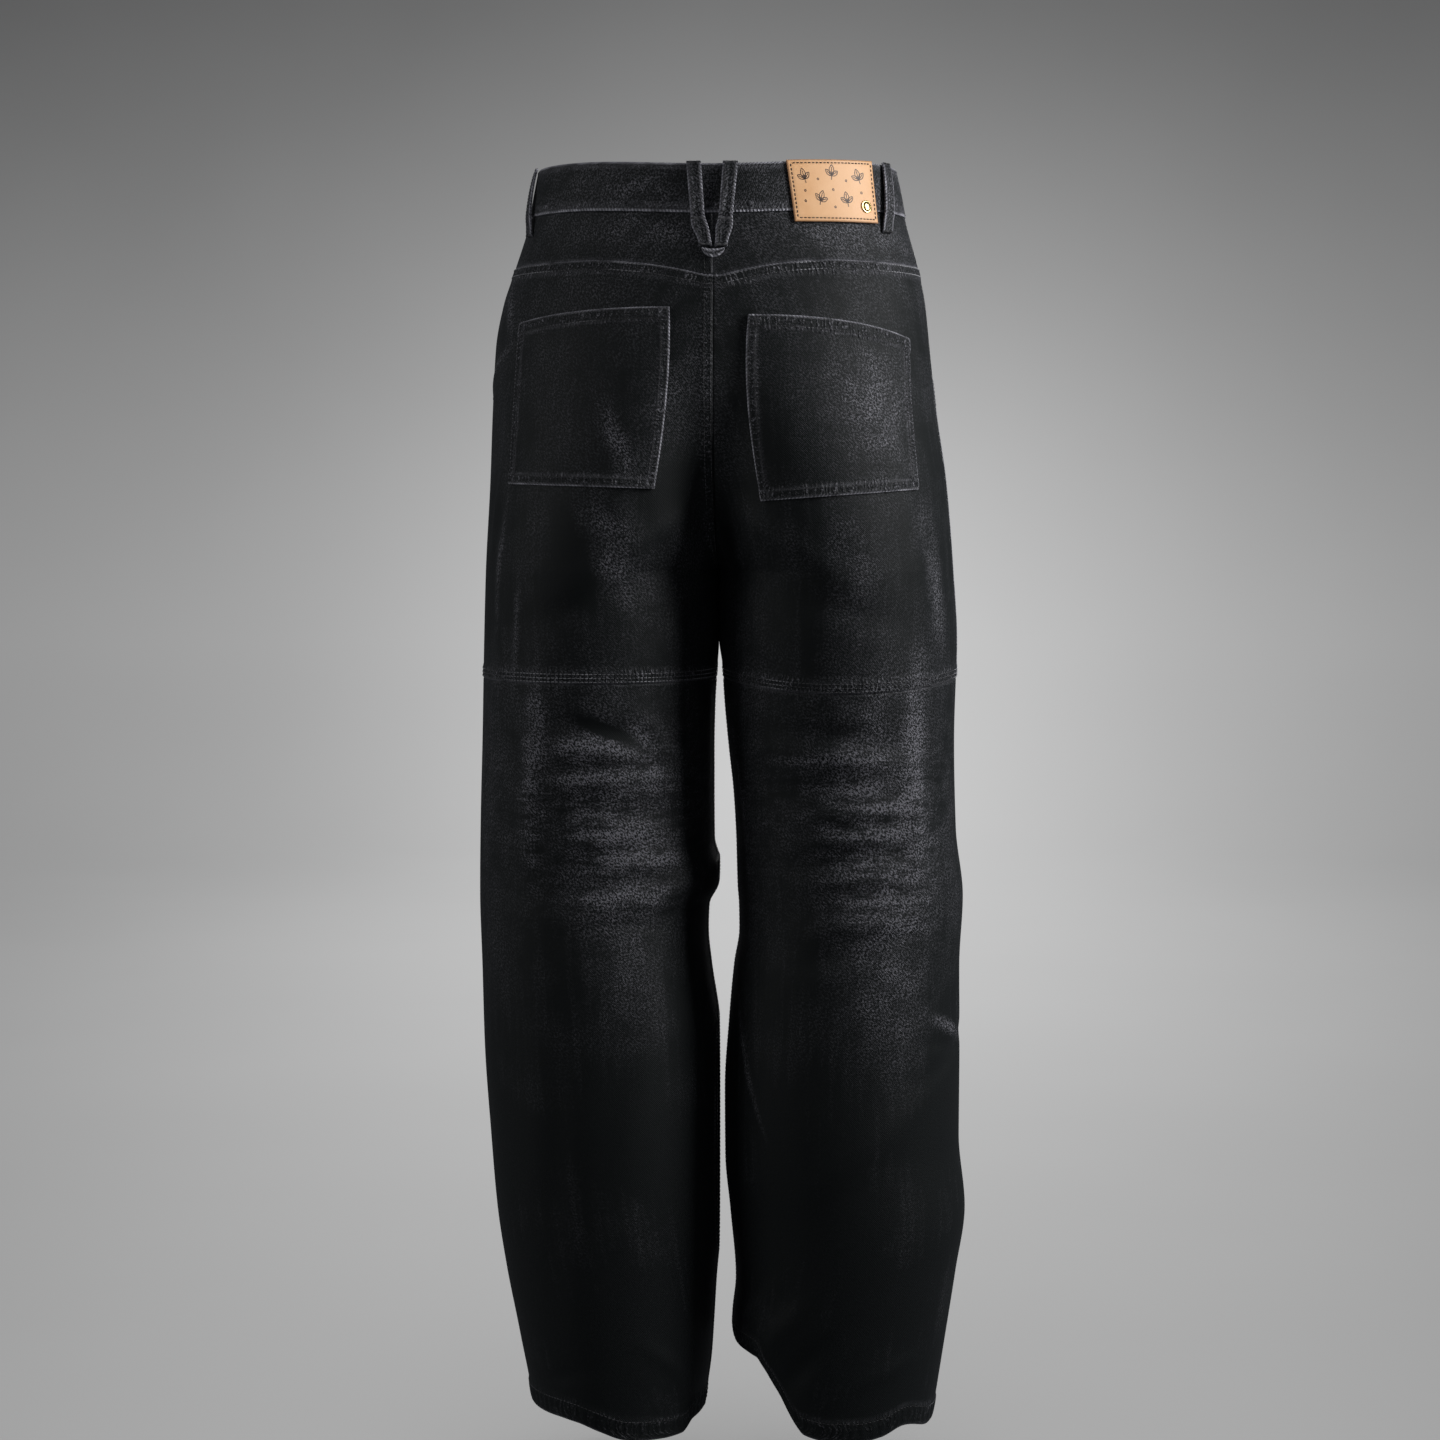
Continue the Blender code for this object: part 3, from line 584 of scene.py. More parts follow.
def seam_layers(base, seams):
    """Relief, wear, pucker and seam coordinates of a panel whose smooth points are base.

    seams maps an edge to the width and height of its sewn band and the strength of its wear and puckers.
    """
    relief, wear, pucker, along = np.zeros((4, *base.shape[:2]))
    nearest = np.ones(base.shape[:2])
    for edge, (away, place) in edge_distances(base).items():
        relief = relief - ROLL * bell(away, ROLL_REACH)
        width, height, worn, puckered = seams.get(edge, (0, 0, 0, 0))
        if width:
            band = height * (1 - smoothstep(width - 0.0008, width + 0.0012, away))
            relief = relief + np.where(band > relief, band, 0)
            wear = np.maximum(wear, 0.14 * worn * bell(away - width, 0.0012))
        wear = np.maximum(wear, worn * bell(away, 0.0012 if worn <= 1 else 0.0017))
        beside = smoothstep(0.0006, 0.0022, away) * bell(np.maximum(away - width, 0), 0.0022)
        pucker = np.maximum(pucker, puckered * beside)
        if worn or puckered:
            closer = away < nearest
            nearest, along = np.where(closer, away, nearest), np.where(closer, place, along)
    return relief, wear, pucker, pair(along, nearest)


def make_mesh(name, points, faces, materials, smooth_angle=0):
    mesh = bpy.data.meshes.new(name)
    faces = np.asarray(faces)
    mesh.vertices.add(len(points))
    mesh.vertices.foreach_set("co", np.asarray(points, np.float32).ravel())
    mesh.loops.add(faces.size)
    mesh.loops.foreach_set("vertex_index", faces.ravel().astype(np.int32))
    mesh.polygons.add(len(faces))
    mesh.polygons.foreach_set("loop_start", np.arange(0, faces.size, faces.shape[1], dtype=np.int32))
    mesh.polygons.foreach_set("use_smooth", np.ones(len(faces), bool))
    mesh.update(calc_edges=True)
    if smooth_angle:
        mesh.set_sharp_from_angle(angle=math.radians(smooth_angle))
    for material in materials:
        mesh.materials.append(material)
    made = bpy.data.objects.new(name, mesh)
    bpy.context.scene.collection.objects.link(made)
    return made


def grid_mesh(name, outer, inner, uv, seam_uv, layers, materials):
    """A closed wall between two grids of points, with its attributes and its back in the last material."""
    rows, columns = outer.shape[:2]
    count = rows * columns
    index = np.arange(count).reshape(rows, columns)
    quad = np.stack([index[:-1, :-1], index[:-1, 1:], index[1:, 1:], index[1:, :-1]], axis=-1).reshape(-1, 4)
    rim = np.concatenate([index[0, :-1], index[:-1, -1], index[-1, :0:-1], index[:0:-1, 0]])
    after = np.roll(rim, -1)
    edge = np.stack([rim, rim + count, after + count, after], axis=-1)
    points = np.concatenate([outer.reshape(-1, 3), inner.reshape(-1, 3)])
    corner, right, _, below = points[quad[len(quad) // 2]]
    if np.dot(np.cross(right - corner, below - corner), corner - points[quad[len(quad) // 2][0] + count]) < 0:
        quad, edge = quad[:, ::-1], edge[:, ::-1]
    faces = np.concatenate([quad, quad[:, ::-1] + count, edge])
    made = make_mesh(name, points, faces, materials, 55)
    mesh = made.data
    slots = np.zeros(len(faces), int)
    slots[len(quad) : 2 * len(quad)] = len(materials) - 1
    mesh.polygons.foreach_set("material_index", slots)
    corners = faces.reshape(-1) % count
    for label, values in (("UVMap", uv), ("Seam", seam_uv)):
        layer = mesh.uv_layers.new(name=label)
        layer.data.foreach_set("uv", values.reshape(-1, 2)[corners].astype(np.float32).ravel())
    mesh.uv_layers["UVMap"].active_render = True
    for label, values in layers.items():
        attribute = mesh.attributes.new(label, "FLOAT", "POINT")
        both = np.tile(np.broadcast_to(values, (rows, columns)).ravel(), 2)
        attribute.data.foreach_set("value", both.astype(np.float32))
    return made


# ---------------------------------------------------------------- materials


def tinted(colour, share):
    return tuple(part * share for part in colour)


class Nodes:
    """The nodes of a new material. Every input takes a value or another node's socket."""

    def __init__(self, name):
        self.material = bpy.data.materials.new(name)
        self.material.use_nodes = True
        self.tree = self.material.node_tree

    def set(self, node, **inputs):
        """Sets a node's own values, and its inputs by name or, as in i0, by place."""
        for label, value in inputs.items():
            if hasattr(node, label) and label not in node.inputs:
                setattr(node, label, value)
                continue
            socket = node.inputs[int(label[1:]) if label[1:].isdigit() else label.replace("_", " ")]
            if isinstance(value, bpy.types.NodeSocket):
                self.tree.links.new(value, socket)
            else:
                socket.default_value = (*value, 1.0) if socket.type == "RGBA" else value
        return node

    def add(self, kind, **inputs):
        return self.set(self.tree.nodes.new("ShaderNode" + kind), **inputs)

    def done(self, **inputs):
        """The material, with its shader's inputs set."""
        self.set(self.tree.nodes["Principled BSDF"], **inputs)
        return self.material

    def uv(self, name):
        return self.add("UVMap", uv_map=name).outputs[0]

    def layer(self, name):
        return self.add("Attribute", attribute_name=name).outputs["Fac"]

    def place(self):
        return self.add("TexCoord").outputs["Object"]

    def split(self, vector):
        return self.add("SeparateXYZ", Vector=vector).outputs[:]

    def maths(self, operation, a, b=0.0, c=0.0, clamp=False):
        return self.add("Math", operation=operation, use_clamp=clamp, i0=a, i1=b, i2=c).outputs[0]

    def times(self, a, b, clamp=False):
        return self.maths("MULTIPLY", a, b, clamp=clamp)

    def times_plus(self, a, b, c):
        return self.maths("MULTIPLY_ADD", a, b, c)

    def wave(self, value, period):
        return self.maths("SINE", self.times(value, math.tau / period))

    def fall(self, *values):
        """1 where all values are 0, falling towards 0 as the sum of their squares grows."""
        squares = [self.times(value, value) for value in values]
        total = self.maths("ADD", *squares) if len(squares) > 1 else squares[0]
        return self.maths("EXPONENT", self.times(total, -1.0))

    def scaled(self, vector, size):
        return self.add("VectorMath", operation="MULTIPLY", i0=vector, i1=(*size, 1.0)[:3]).outputs[0]

    def noise(self, vector, size, detail=2.0, roughness=0.5):
        inputs = {"Vector": self.scaled(vector, size), "Scale": 1.0, "Detail": detail, "Roughness": roughness}
        return self.add("TexNoise", **inputs).outputs["Fac"]

    def ramp(self, value, low, high, to_low=0.0, to_high=1.0):
        ends = {"From_Min": low, "From_Max": high, "To_Min": to_low, "To_Max": to_high}
        return self.add("MapRange", Value=value, **ends).outputs["Result"]

    def mix(self, share, a, b):
        return self.add("Mix", data_type="RGBA", i0=share, i6=a, i7=b).outputs[2]

    def bump(self, height, strength, distance, **over):
        return self.add("Bump", Strength=strength, Distance=distance, Height=height, **over).outputs[0]


def denim_material(name, dark, light, wornness=1.0):
    """Black washed twill: a dark warp over a pale weft that shows as grains where the cloth is worn and where
    a highlight is painted.
    """
    m = Nodes(name)
    uv, seam = m.uv("UVMap"), m.uv("Seam")
    fade, wear, pucker, knee = (m.layer(label) for label in ("fade", "wear", "pucker", "knee"))

    # Grains of weft: round specks and short strokes along the twill's diagonal
    u, v, _ = m.split(uv)
    across = m.maths("SUBTRACT", u, v)
    diagonal = m.add("CombineXYZ", X=across, Y=m.maths("ADD", u, v)).outputs[0]
    speck = m.noise(uv, (680, 680), roughness=0.7)
    stroke = m.noise(diagonal, (600, 260), roughness=0.7)
    twill = m.wave(across, 0.0018)
    grain = m.times_plus(stroke, 0.55, m.times(speck, 0.45))
    fleck = m.ramp(grain, 0.480, 0.61, 0.0, 4.4)

    # Broad unevenness of the wash, soft upright streaks and short level whiskers
    cloud = m.noise(uv, (13, 11), 4.0, 0.55)
    streak = m.noise(uv, (150, 9))
    mottle = m.noise(uv, (52, 44), 3.0, 0.6)
    whisker = m.noise(uv, (40, 130), 4.0, 0.6)

    # Seam edges wear to a pale twisted cord, and the cloth beside them to short ticks
    run, away, _ = m.split(seam)
    rope = m.wave(m.times_plus(away, 0.9, run), 0.0030)
    broken = m.ramp(m.noise(seam, (75, 260), 3.0), 0.32, 0.60, 0.25, 1.20)
    edge_wear = m.times(m.times(wear, m.times_plus(rope, 0.26, 0.66)), broken)
    phase = m.times_plus(m.noise(seam, (120, 40)), 22.0, m.times(run, math.tau / 0.0048))
    tick = m.ramp(m.maths("SINE", phase), -0.1, 0.9)
    tick = m.times(tick, m.ramp(m.noise(seam, (38, 160), 3.0), 0.40, 0.62, 0.05, 1.4))
    ticked = m.times(pucker, tick)

    plain, kneed = m.ramp(whisker, 0.32, 0.68, 0.75, 1.25), m.ramp(whisker, 0.36, 0.64, 0.15, 1.70)
    # This layer holds real fades, painted highlights and painted shade, and lightens or darkens the cloth with
    # them
    faded_and_painted_light = m.times(m.times(fade, m.mix(knee, plain, kneed)), m.ramp(mottle, 0.36, 0.64, 0.50, 1.50))
    worn = m.times_plus(faded_and_painted_light, 0.90, m.ramp(cloud, 0.38, 0.70, -0.03, 0.10))
    worn = m.times_plus(m.ramp(streak, 0.45, 0.75), 0.06, worn)
    worn = m.times_plus(ticked, 0.38, worn)
    worn = m.times(m.maths("MAXIMUM", worn, 0.0), wornness)
    warp = m.mix(m.ramp(grain, 0.36, 0.64), tinted(dark, 0.7), tinted(dark, 1.3))
    cloth = m.mix(m.times(m.times(worn, fleck), 0.60), warp, light)
    frayed = m.times(edge_wear, 1.25, clamp=True)

    weave = m.bump(m.times_plus(twill, 0.20, m.times(grain, 2.0)), 0.6, 0.0004)
    puckered = m.bump(ticked, 0.8, 0.0012, Normal=weave)
    return m.done(
        Base_Color=m.mix(frayed, cloth, tinted(light, 2.3)),
        Roughness=m.ramp(worn, 0.0, 1.0, 0.62, 0.72),
        Specular_IOR_Level=0.20,
        Sheen_Weight=0.03,
        Sheen_Roughness=0.5,
        Sheen_Tint=(0.75, 0.78, 0.88),
        Normal=m.bump(m.times(wear, rope), 0.6, 0.0006, Normal=puckered),
    )


def thread_material(name, colour, rubbed=None):
    """Twisted thread, paler in the places where it has rubbed if rubbed gives that colour."""
    m = Nodes(name)
    place = m.place()
    twist = m.ramp(m.noise(place, (2600, 2600, 2600), 1.0), 0.3, 0.7)
    shade = m.mix(twist, tinted(colour, 0.6), tinted(colour, 1.4))
    if rubbed:
        shade = m.mix(m.ramp(m.noise(place, (16, 16, 16), 3.0, 0.6), 0.50, 0.66), shade, rubbed)
    return m.done(Base_Color=shade, Roughness=0.5, Sheen_Weight=0.1)


def leather_material(name):
    """Smooth vegetable-tanned leather with a fine grain and burnished, darker edges."""
    m = Nodes(name)
    uv = m.uv("UVMap")
    cells = m.add("TexVoronoi", Vector=m.scaled(uv, (1500, 1500)), Scale=1.0).outputs["Distance"]
    cloud = m.noise(uv, (60, 60), 4.0)
    pores = m.ramp(m.noise(uv, (2200, 2200)), 0.62, 0.80, 0.0, 0.35)
    base = m.mix(m.ramp(cloud, 0.3, 0.7), (0.84, 0.465, 0.220), (0.90, 0.535, 0.280))
    speck = m.mix(pores, base, (0.30, 0.13, 0.05))
    return m.done(
        Base_Color=m.mix(m.times(m.layer("wear"), 0.75, clamp=True), speck, (0.22, 0.085, 0.030)),
        Roughness=m.ramp(cloud, 0.3, 0.7, 0.42, 0.55),
        Specular_IOR_Level=0.45,
        Normal=m.bump(cells, 0.35, 0.00015),
    )


def metal_material(name, colour, roughness):
    """Metal with soft smudges and fine upright scratches."""
    m = Nodes(name)
    place = m.place()
    smudge = m.noise(place, (420, 420, 420), 4.0)
    return m.done(
        Base_Color=m.mix(m.ramp(smudge, 0.35, 0.75), colour, tinted(colour, 0.7)),
        Metallic=1.0,
        Roughness=m.ramp(smudge, 0.3, 0.8, roughness, roughness + 0.16),
        Normal=m.bump(m.noise(place, (4000, 500, 4000)), 0.12, 0.0001),
    )


denim = denim_material("black_denim", (0.0060, 0.0078, 0.0084), (0.205, 0.203, 0.228))
denim_back = denim_material("black_denim_reverse", (0.018, 0.019, 0.022), (0.11, 0.11, 0.12), 0.4)
thread = thread_material("charcoal_thread", (0.012, 0.012, 0.014), (0.15, 0.15, 0.165))
pale_thread = thread_material("rubbed_thread", (0.035, 0.035, 0.040), (0.36, 0.36, 0.39))
brown_thread = thread_material("brown_thread", (0.040, 0.018, 0.009))
leather = leather_material("tan_leather")
print_ink = thread_material("brown_print", (0.060, 0.026, 0.012))
brass = metal_material("polished_brass", (0.86, 0.63, 0.27), 0.16)
gunmetal = metal_material("gunmetal", (0.15, 0.15, 0.16), 0.32)
zip_tape = thread_material("zip_tape", (0.012, 0.012, 0.014))


# ---------------------------------------------------------------- cloth pieces

# The piece that replaces each solid, and the points and normals on which it's sewn
shown = {}
sewn = {}


def finish_piece(made, node=None):
    if node:
        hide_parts(node)
        shown[node] = made
    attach(made, "root")
    return made


def cloth_piece(name, outer, inner, normal, uv, seam_uv, **layers):
    """A piece of denim in the place of the solid of its name."""
    made = grid_mesh(name + "_cloth", outer, inner, uv, seam_uv, layers, [denim, denim_back])
    finish_piece(made, node=name)
    sewn[name] = outer, normal


def meet(inner):
    """Widens the back of a panel a little at its edges, so that no light shows through the seams."""
    for rows in (inner, inner.transpose(1, 0, 2)):
        for first, second in ((0, 1), (-1, -2)):
            rows[first] += unit(rows[first] - rows[second]) * SEAM_OVERLAP


def panel(name, leg, grid, lift=0.0, **seams):
    """One cloth piece on a leg from its angles and heights, as in seam_layers."""
    angles, heights = grid
    base = cloth_point(leg, angles, heights, lift)
    relief, wear, pucker, seam_uv = seam_layers(base, seams)
    normal = outward(leg, angles, heights)
    inner = base - normal * (DENIM - ROLL * 0.5)
    if "pocket" not in name:
        meet(inner)
    across = running(base, 1) * (np.sign(np.sum(angles)) * LEGS[leg]) + 0.37 * LEGS[leg]
    # Real fades with painted highlights where the key light falls and painted shade in creases, plus the tone
    # by height
    fade = np.clip(fades_and_painted_light(leg, angles, heights, 1.3) + smooth(TONE_BY_HEIGHT, "share", heights), -0.6, 1.2)
    knee = np.exp(-(((heights - KNEE_Z) / KNEE_REACH) ** 4))
    outer = base + normal * relief[..., None]
    layers = {"fade": fade, "wear": wear, "pucker": pucker, "knee": knee}
    cloth_piece(name, outer, inner, normal, pair(across, -heights), seam_uv, **layers)


# Rows of points close to the crotch, below it and above it
CROTCH_ROWS = np.array([-0.012, -0.007, -0.004, -0.002, -0.0008, 0.0, 0.0008, 0.0025, 0.005])


def fine_grid(leg, face, top, bottom, step_across, step_down, start=None, edge=None, crotch=False):
    """Angles and heights of a fine panel behind (face 1) or in front (-1) of a leg.

    top and bottom give the heights of its edges at an angle. start gives the angle of its outer edge at a
    height if that isn't the side seam, and edge the distance of its inner edge from the middle.
    """

    def ends(heights):
        first = start(heights) if start else HALF_GAP / smooth(DEPTH, "back", heights)
        return first, edge_angle(leg, heights, edge(heights) if edge else HALF_GAP)

    def angles_at(heights):
        first, last = ends(heights)
        return face * (first + across * (last - first))

    middle = (top(face * 0.8) + bottom(face * 0.8)) / 2
    first, last = ends(np.array(middle))
    row = drape_point(leg, face * np.linspace(float(first), float(last), 60), middle)
    width = np.linalg.norm(np.diff(row, axis=0), axis=-1).sum()
    across = spaced(width, step_across)[None, :]
    high, low = top(face * 2.2), bottom(face * 2.9)
    extra = float(high) - CROTCH_Z + CROTCH_ROWS if crotch else ()
    down = spaced(float(high - low), step_down, extra=extra)[:, None]
    heights = top(0.0) + (bottom(0.0) - top(0.0)) * down + 0 * across
    for _ in range(4):
        angles = angles_at(heights)
        heights = top(angles) + (bottom(angles) - top(angles)) * down
    return angles_at(heights), heights


def between(corners, across, down):
    """Values inside four corners: two at the top and two at the bottom."""
    in_top, out_top, in_low, out_low = corners
    top, low = in_top + (out_top - in_top) * across, in_low + (out_low - in_low) * across
    return top + (low - top) * down


def build_upper(leg):
    """Yoke, seat and thigh, and the front down to the seam across the thigh."""

    def under_band(a):
        return band_line(a) - SEAM_GAP

    def over_thigh(a):
        return thigh_line(leg, a) + HALF_GAP

    left = leg == "left"
    grid = fine_grid(leg, 1, under_band, lambda a: yoke_line(a) + HALF_GAP, 0.0022, 0.0020)
    panel(f"yoke_{leg}", leg, grid, top=(0, 0, 0, 0.55), bottom=(0, 0, 0.15, 0.55), end=(0, 0, 0.15, 0.7))

    grid = fine_grid(leg, 1, lambda a: yoke_line(a) - HALF_GAP, over_thigh, 0.0026, 0.0030, crotch=True)
    panel(
        f"back_upper_{leg}",
        leg,
        grid,
        top=(0.0095, 0.0006, 0.50, 1.0),
        bottom=(0.0100, 0.0006, 0.22, 0.9),
        end=(0.0085, 0.0004, 0.0, 0.6) if left else (0, 0, 0.0, 0.5),
    )

    lap = LAP if left else 0.0
    grid = fine_grid(
        leg,
        -1,
        under_band,
        over_thigh,
        0.0030,
        0.0034,
        start=lambda z: np.maximum(scoop_angle(z), SIDE_EDGE),
        edge=lambda z: HALF_GAP - lap * smoothstep(FLY_END_Z, FLY_END_Z + 0.022, z),
        crotch=True,
    )
    panel(
        f"front_upper_{leg}",
        leg,
        grid,
        lap_lift(drape_point(leg, *grid)[..., 0], grid[1]) if left else 0.0,
        top=(0, 0, 0.0, 0.6),
        bottom=(0.0100, 0.0006, 0.22, 0.5),
        start=(0.0085, 0.0006, 0.85, 0.7),
        end=(0.0085, 0.0004, 0.55, 0.6),
    )


def build_lower(leg):
    """The lower leg behind and in front, with the ripple of its hem."""
    for side, face, step_across, step_down in (("back", 1, 0.0030, 0.0034), ("front", -1, 0.0042, 0.0044)):
        angles, heights = fine_grid(
            leg,
            face,
            lambda a: thigh_line(leg, a) - HALF_GAP,
            lambda a: hem_line(leg, a),
            step_across,
            step_down,
        )
        above = heights - hem_line(leg, angles)
        ripple = np.sin(angles * 66 + 1.4 * np.sin(7 * angles)) * smoothstep(0.001, 0.005, above)
        panel(
            f"{side}_lower_{leg}",
            leg,
            (angles, heights),
            0.0006 * ripple * (1 - smoothstep(0.012, 0.020, above)),
            top=(0, 0, 0.05, 0.8),
            bottom=(HEM_DEPTH, 0.0007, 0.30, 0.40),
            end=(0.008, 0.0004, 0.15, 0.35),
        )


def build_facing(leg):
    """The piece that shows in the front pocket's mouth."""
    down, across = spaced(0.152, 0.0030)[:, None], spaced(0.09, 0.0030)[None, :]
    heights = BAND_BOTTOM - SEAM_GAP + (FACING_END_Z - BAND_BOTTOM + SEAM_GAP) * down + 0 * across
    mouth = scoop_angle(heights)
    angles = -(SIDE_EDGE + across * (mouth + FACING_UNDER - SIDE_EDGE))
    heights = heights + (band_line(angles) - BAND_BOTTOM) * (1 - smoothstep(0, 0.5, down))
    open_share = 1 - smoothstep(-0.095, -0.060, -0.155 - heights)
    from_side = 1 - smoothstep(0, 1, -angles / (0.5 * mouth + 0.02))
    lift = -(DENIM + FACING_GAP) * (1 - open_share * from_side)
    behind_band = 0.3 + 0.7 * smoothstep(0.0012, 0.0016, -lift)
    heights = heights + FACING_RISE * behind_band * (1 - smoothstep(0.0, 0.06, down))
    panel(f"pocket_facing_{leg}", leg, (angles, heights), lift, start=(0, 0, 0.1, 0.3))


# Corners of the patch pockets, as in the solids: out from the middle and height, inner and outer corners
# at the top and then at the bottom
POCKETS = {
    "left": ((0.0355, -0.0890), (0.1630, -0.0985), (0.0483, -0.2370), (0.1715, -0.2330)),
    "right": ((0.0289, -0.0955), (0.1607, -0.1120), (0.0404, -0.2470), (0.1683, -0.2377)),
}


def build_pocket(leg):
    """The patch pocket behind, with a slight belly and a mouth that bows."""
    across, down = spaced(0.145, 0.0017)[None, :], spaced(0.150, 0.0017)[:, None]
    away = 1 - across
    _, (z_in, z_out, low_in, low_out) = zip(*POCKETS[leg])
    top, low = z_in + (z_out - z_in) * away**2, low_in + (low_out - low_in) * away
    in_top, out_top, in_low, out_low = (angle_at(leg, out, z) for out, z in POCKETS[leg])
    outer, inner = out_top + (out_low - out_top) * down, in_top + (in_low - in_top) * down
    puff = 0.0011 * np.sin(math.pi * across) * (1 - smoothstep(0.0, 0.5, down))
    puff = puff + 0.0006 * np.sin(math.pi * across) * np.sin(math.pi * down)
    panel(
        f"back_pocket_{leg}",
        leg,
        (outer + (inner - outer) * across, top + (low - top) * down),
        LAY_GAP + DENIM + puff,
        top=(0.0110, 0.0008, 0.80, 0.9),
        bottom=(0.0085, 0.0005, 0.90, 1.0),
        start=(0.0075, 0.0005, 1.00, 0.8),
        end=(0.0075, 0.0005, 1.00, 0.8),
    )


def build_waistband():
    over, under = -girth_of(LAP), math.tau + girth_of(UNDER_END)
    share = spaced(BAND_HEIGHT, 0.0022, near=(0.0004, 0.0009, 0.0016, 0.0026))[:, None]
    girth = np.linspace(over, under, 560)[None, :] + 0 * share
    heights = band_line(girth_angle(girth)) + BAND_HEIGHT * (1 - share)
    # The end under the lap lies deeper
    tuck = smoothstep(math.tau - 0.24, math.tau - 0.06, girth)
    base = on_girth(cloth_point, girth, heights, BAND_PROUD - (BAND_CLOTH + 0.0006) * tuck)
    seams = {"top": (0.0040, 0, 1.2, 0.5), "bottom": (0.0060, 0, 1.1, 1.0), "start": (0.0040, 0, 1.0, 0.6)}
    relief, wear, pucker, seam_uv = seam_layers(base, seams)
    bulge = 0.0005 * np.sin(math.pi * share)
    normal = unit(on_girth(cloth_point, girth, heights, 0.01) - on_girth(cloth_point, girth, heights, 0.0))
    outer = base + normal * (relief + bulge)[..., None]
    inner = base - normal * (BAND_CLOTH - 0.0003)
    # The band takes the fades, painted highlights and painted shade of the cloth just below it
    fade = np.clip(on_girth(fades_and_painted_light, girth, heights - 0.035), 0, 1) * 0.75 + 0.10
    uv = pair(-heights, running(base, 1))
    cloth_piece("waistband", outer, inner, normal, uv, seam_uv, fade=fade, wear=wear, pucker=pucker)


# Belt loops: leg, behind (1) or in front (-1), distance from the middle at the top and bottom, width at
# the top and bottom, height of the end, and how far the foot turns in towards the tip that joins two
LOOPS = {
    "loop_back_left": ("left", 1, 0.0164, 0.0105, 0.0120, 0.0105, -0.0390, 0.0042),
    "loop_back_right": ("right", 1, 0.0136, 0.0080, 0.0125, 0.0105, -0.0395, 0.0016),
    "loop_side_left": ("left", 1, 0.1530, 0.1588, 0.0120, 0.0120, -0.0235, 0.0),
    "loop_side_right": ("right", 1, 0.1400, 0.1425, 0.0120, 0.0120, -0.0235, 0.0),
    "loop_front_left": ("left", -1, 0.0800, 0.0840, 0.0120, 0.0120, -0.0370, 0.0),
    "loop_front_right": ("right", -1, 0.0800, 0.0840, 0.0120, 0.0120, -0.0370, 0.0),
}
LOOP_STAND = 0.0027
LOOP_OVER_TOP = 0.0010


def build_loop(name, leg, face, top, bottom, wide, foot, end, bend):
    """A belt loop: a strip that stands off the waistband between its sewn ends."""
    along = spaced(0.065, 0.0011, near=(0.0004, 0.0008))[:, None]
    across = (spaced(wide, 0.0009, near=(0.0003, 0.0007)) - 0.5)[None, :]
    middle = top + (bottom - top) * along - bend * smoothstep(0.66, 1.0, along)
    # The two middle loops are wider and creased where they bend
    bent = float(bend > 0)
    width = wide + (foot - wide) * along + 0.0026 * bent * bell(along - 0.78, 0.09)
    crown = 0.0006 * (1 - (2 * across) ** 4) - 0.0006 * bell(across * width, 0.0016)
    crown = crown - 0.0009 * bent * bell(along - 0.66, 0.022)
    creased = 0.6 * bent * bell(along - 0.685, 0.012)
    start = band_line(face * angle_at(leg, top, 0.0)) + BAND_HEIGHT + LOOP_OVER_TOP
    z = start + (end - start) * along + 0 * across
    turn = angle_at(leg, middle, z)
    step = np.linalg.norm(drape_point(leg, turn + 1e-3, z) - drape_point(leg, turn, z), axis=-1) / 1e-3
    angle = face * (turn + across * width / step)
    seam = band_line(angle)
    over_band = (BAND_PROUD + 0.0002) * smoothstep(seam - 0.012, seam, z)
    under = LAY_GAP + over_band + LOOP_STAND * np.sin(math.pi * along) ** 0.6
    outer = cloth_point(leg, angle, z, under + LOOP_CLOTH - 0.0003 + crown)
    inner = cloth_point(leg, angle, z, under)
    down = running(outer)
    from_edge = (0.5 - np.abs(across)) * width
    cloth_piece(
        name,
        outer,
        inner,
        outward(leg, angle, z),
        pair(across * width, down),
        pair(down, from_edge),
        fade=0.22 + 0.16 * np.sin(math.pi * along),
        wear=bell(from_edge, 0.0013) + 0.8 * bell(down, 0.0010) + creased,
        pucker=0.9 * bell(from_edge, 0.0034),
    )


def build_loop_tip():
    """The short turned end that joins the two middle loops."""
    across, down = np.linspace(-1, 1, 25)[None, :], np.linspace(0, 1, 9)[:, None]
    half_width, rise, sag = 0.0094, 0.0068, 0.0013
    x = half_width * across + 0 * down
    z = -0.0400 - rise * down * np.sqrt(1.05 - across**2) - sag * (1 - across**2)
    base = across_middle(1, x, z)
    behind = np.array([0.0, 1.0, 0.0])
    crumple = 0.0004 * np.sin(8 * across + 2.0) * np.sin(5 * down + 1.0)
    full = LAY_GAP + 0.0020 + 0.0014 * np.sin(math.pi * down) + crumple
    outer, inner = base + behind * full[..., None], base + behind * (LAY_GAP + 0.0002)
    wear = 1.2 * (bell(down - 0.12, 0.16) + bell(down - 0.88, 0.16))
    layers = {"fade": 0.3, "wear": wear, "pucker": 0.4}
    cloth_piece("loop_tip", outer, inner, None, pair(x, z), pair(x, down * rise), **layers)


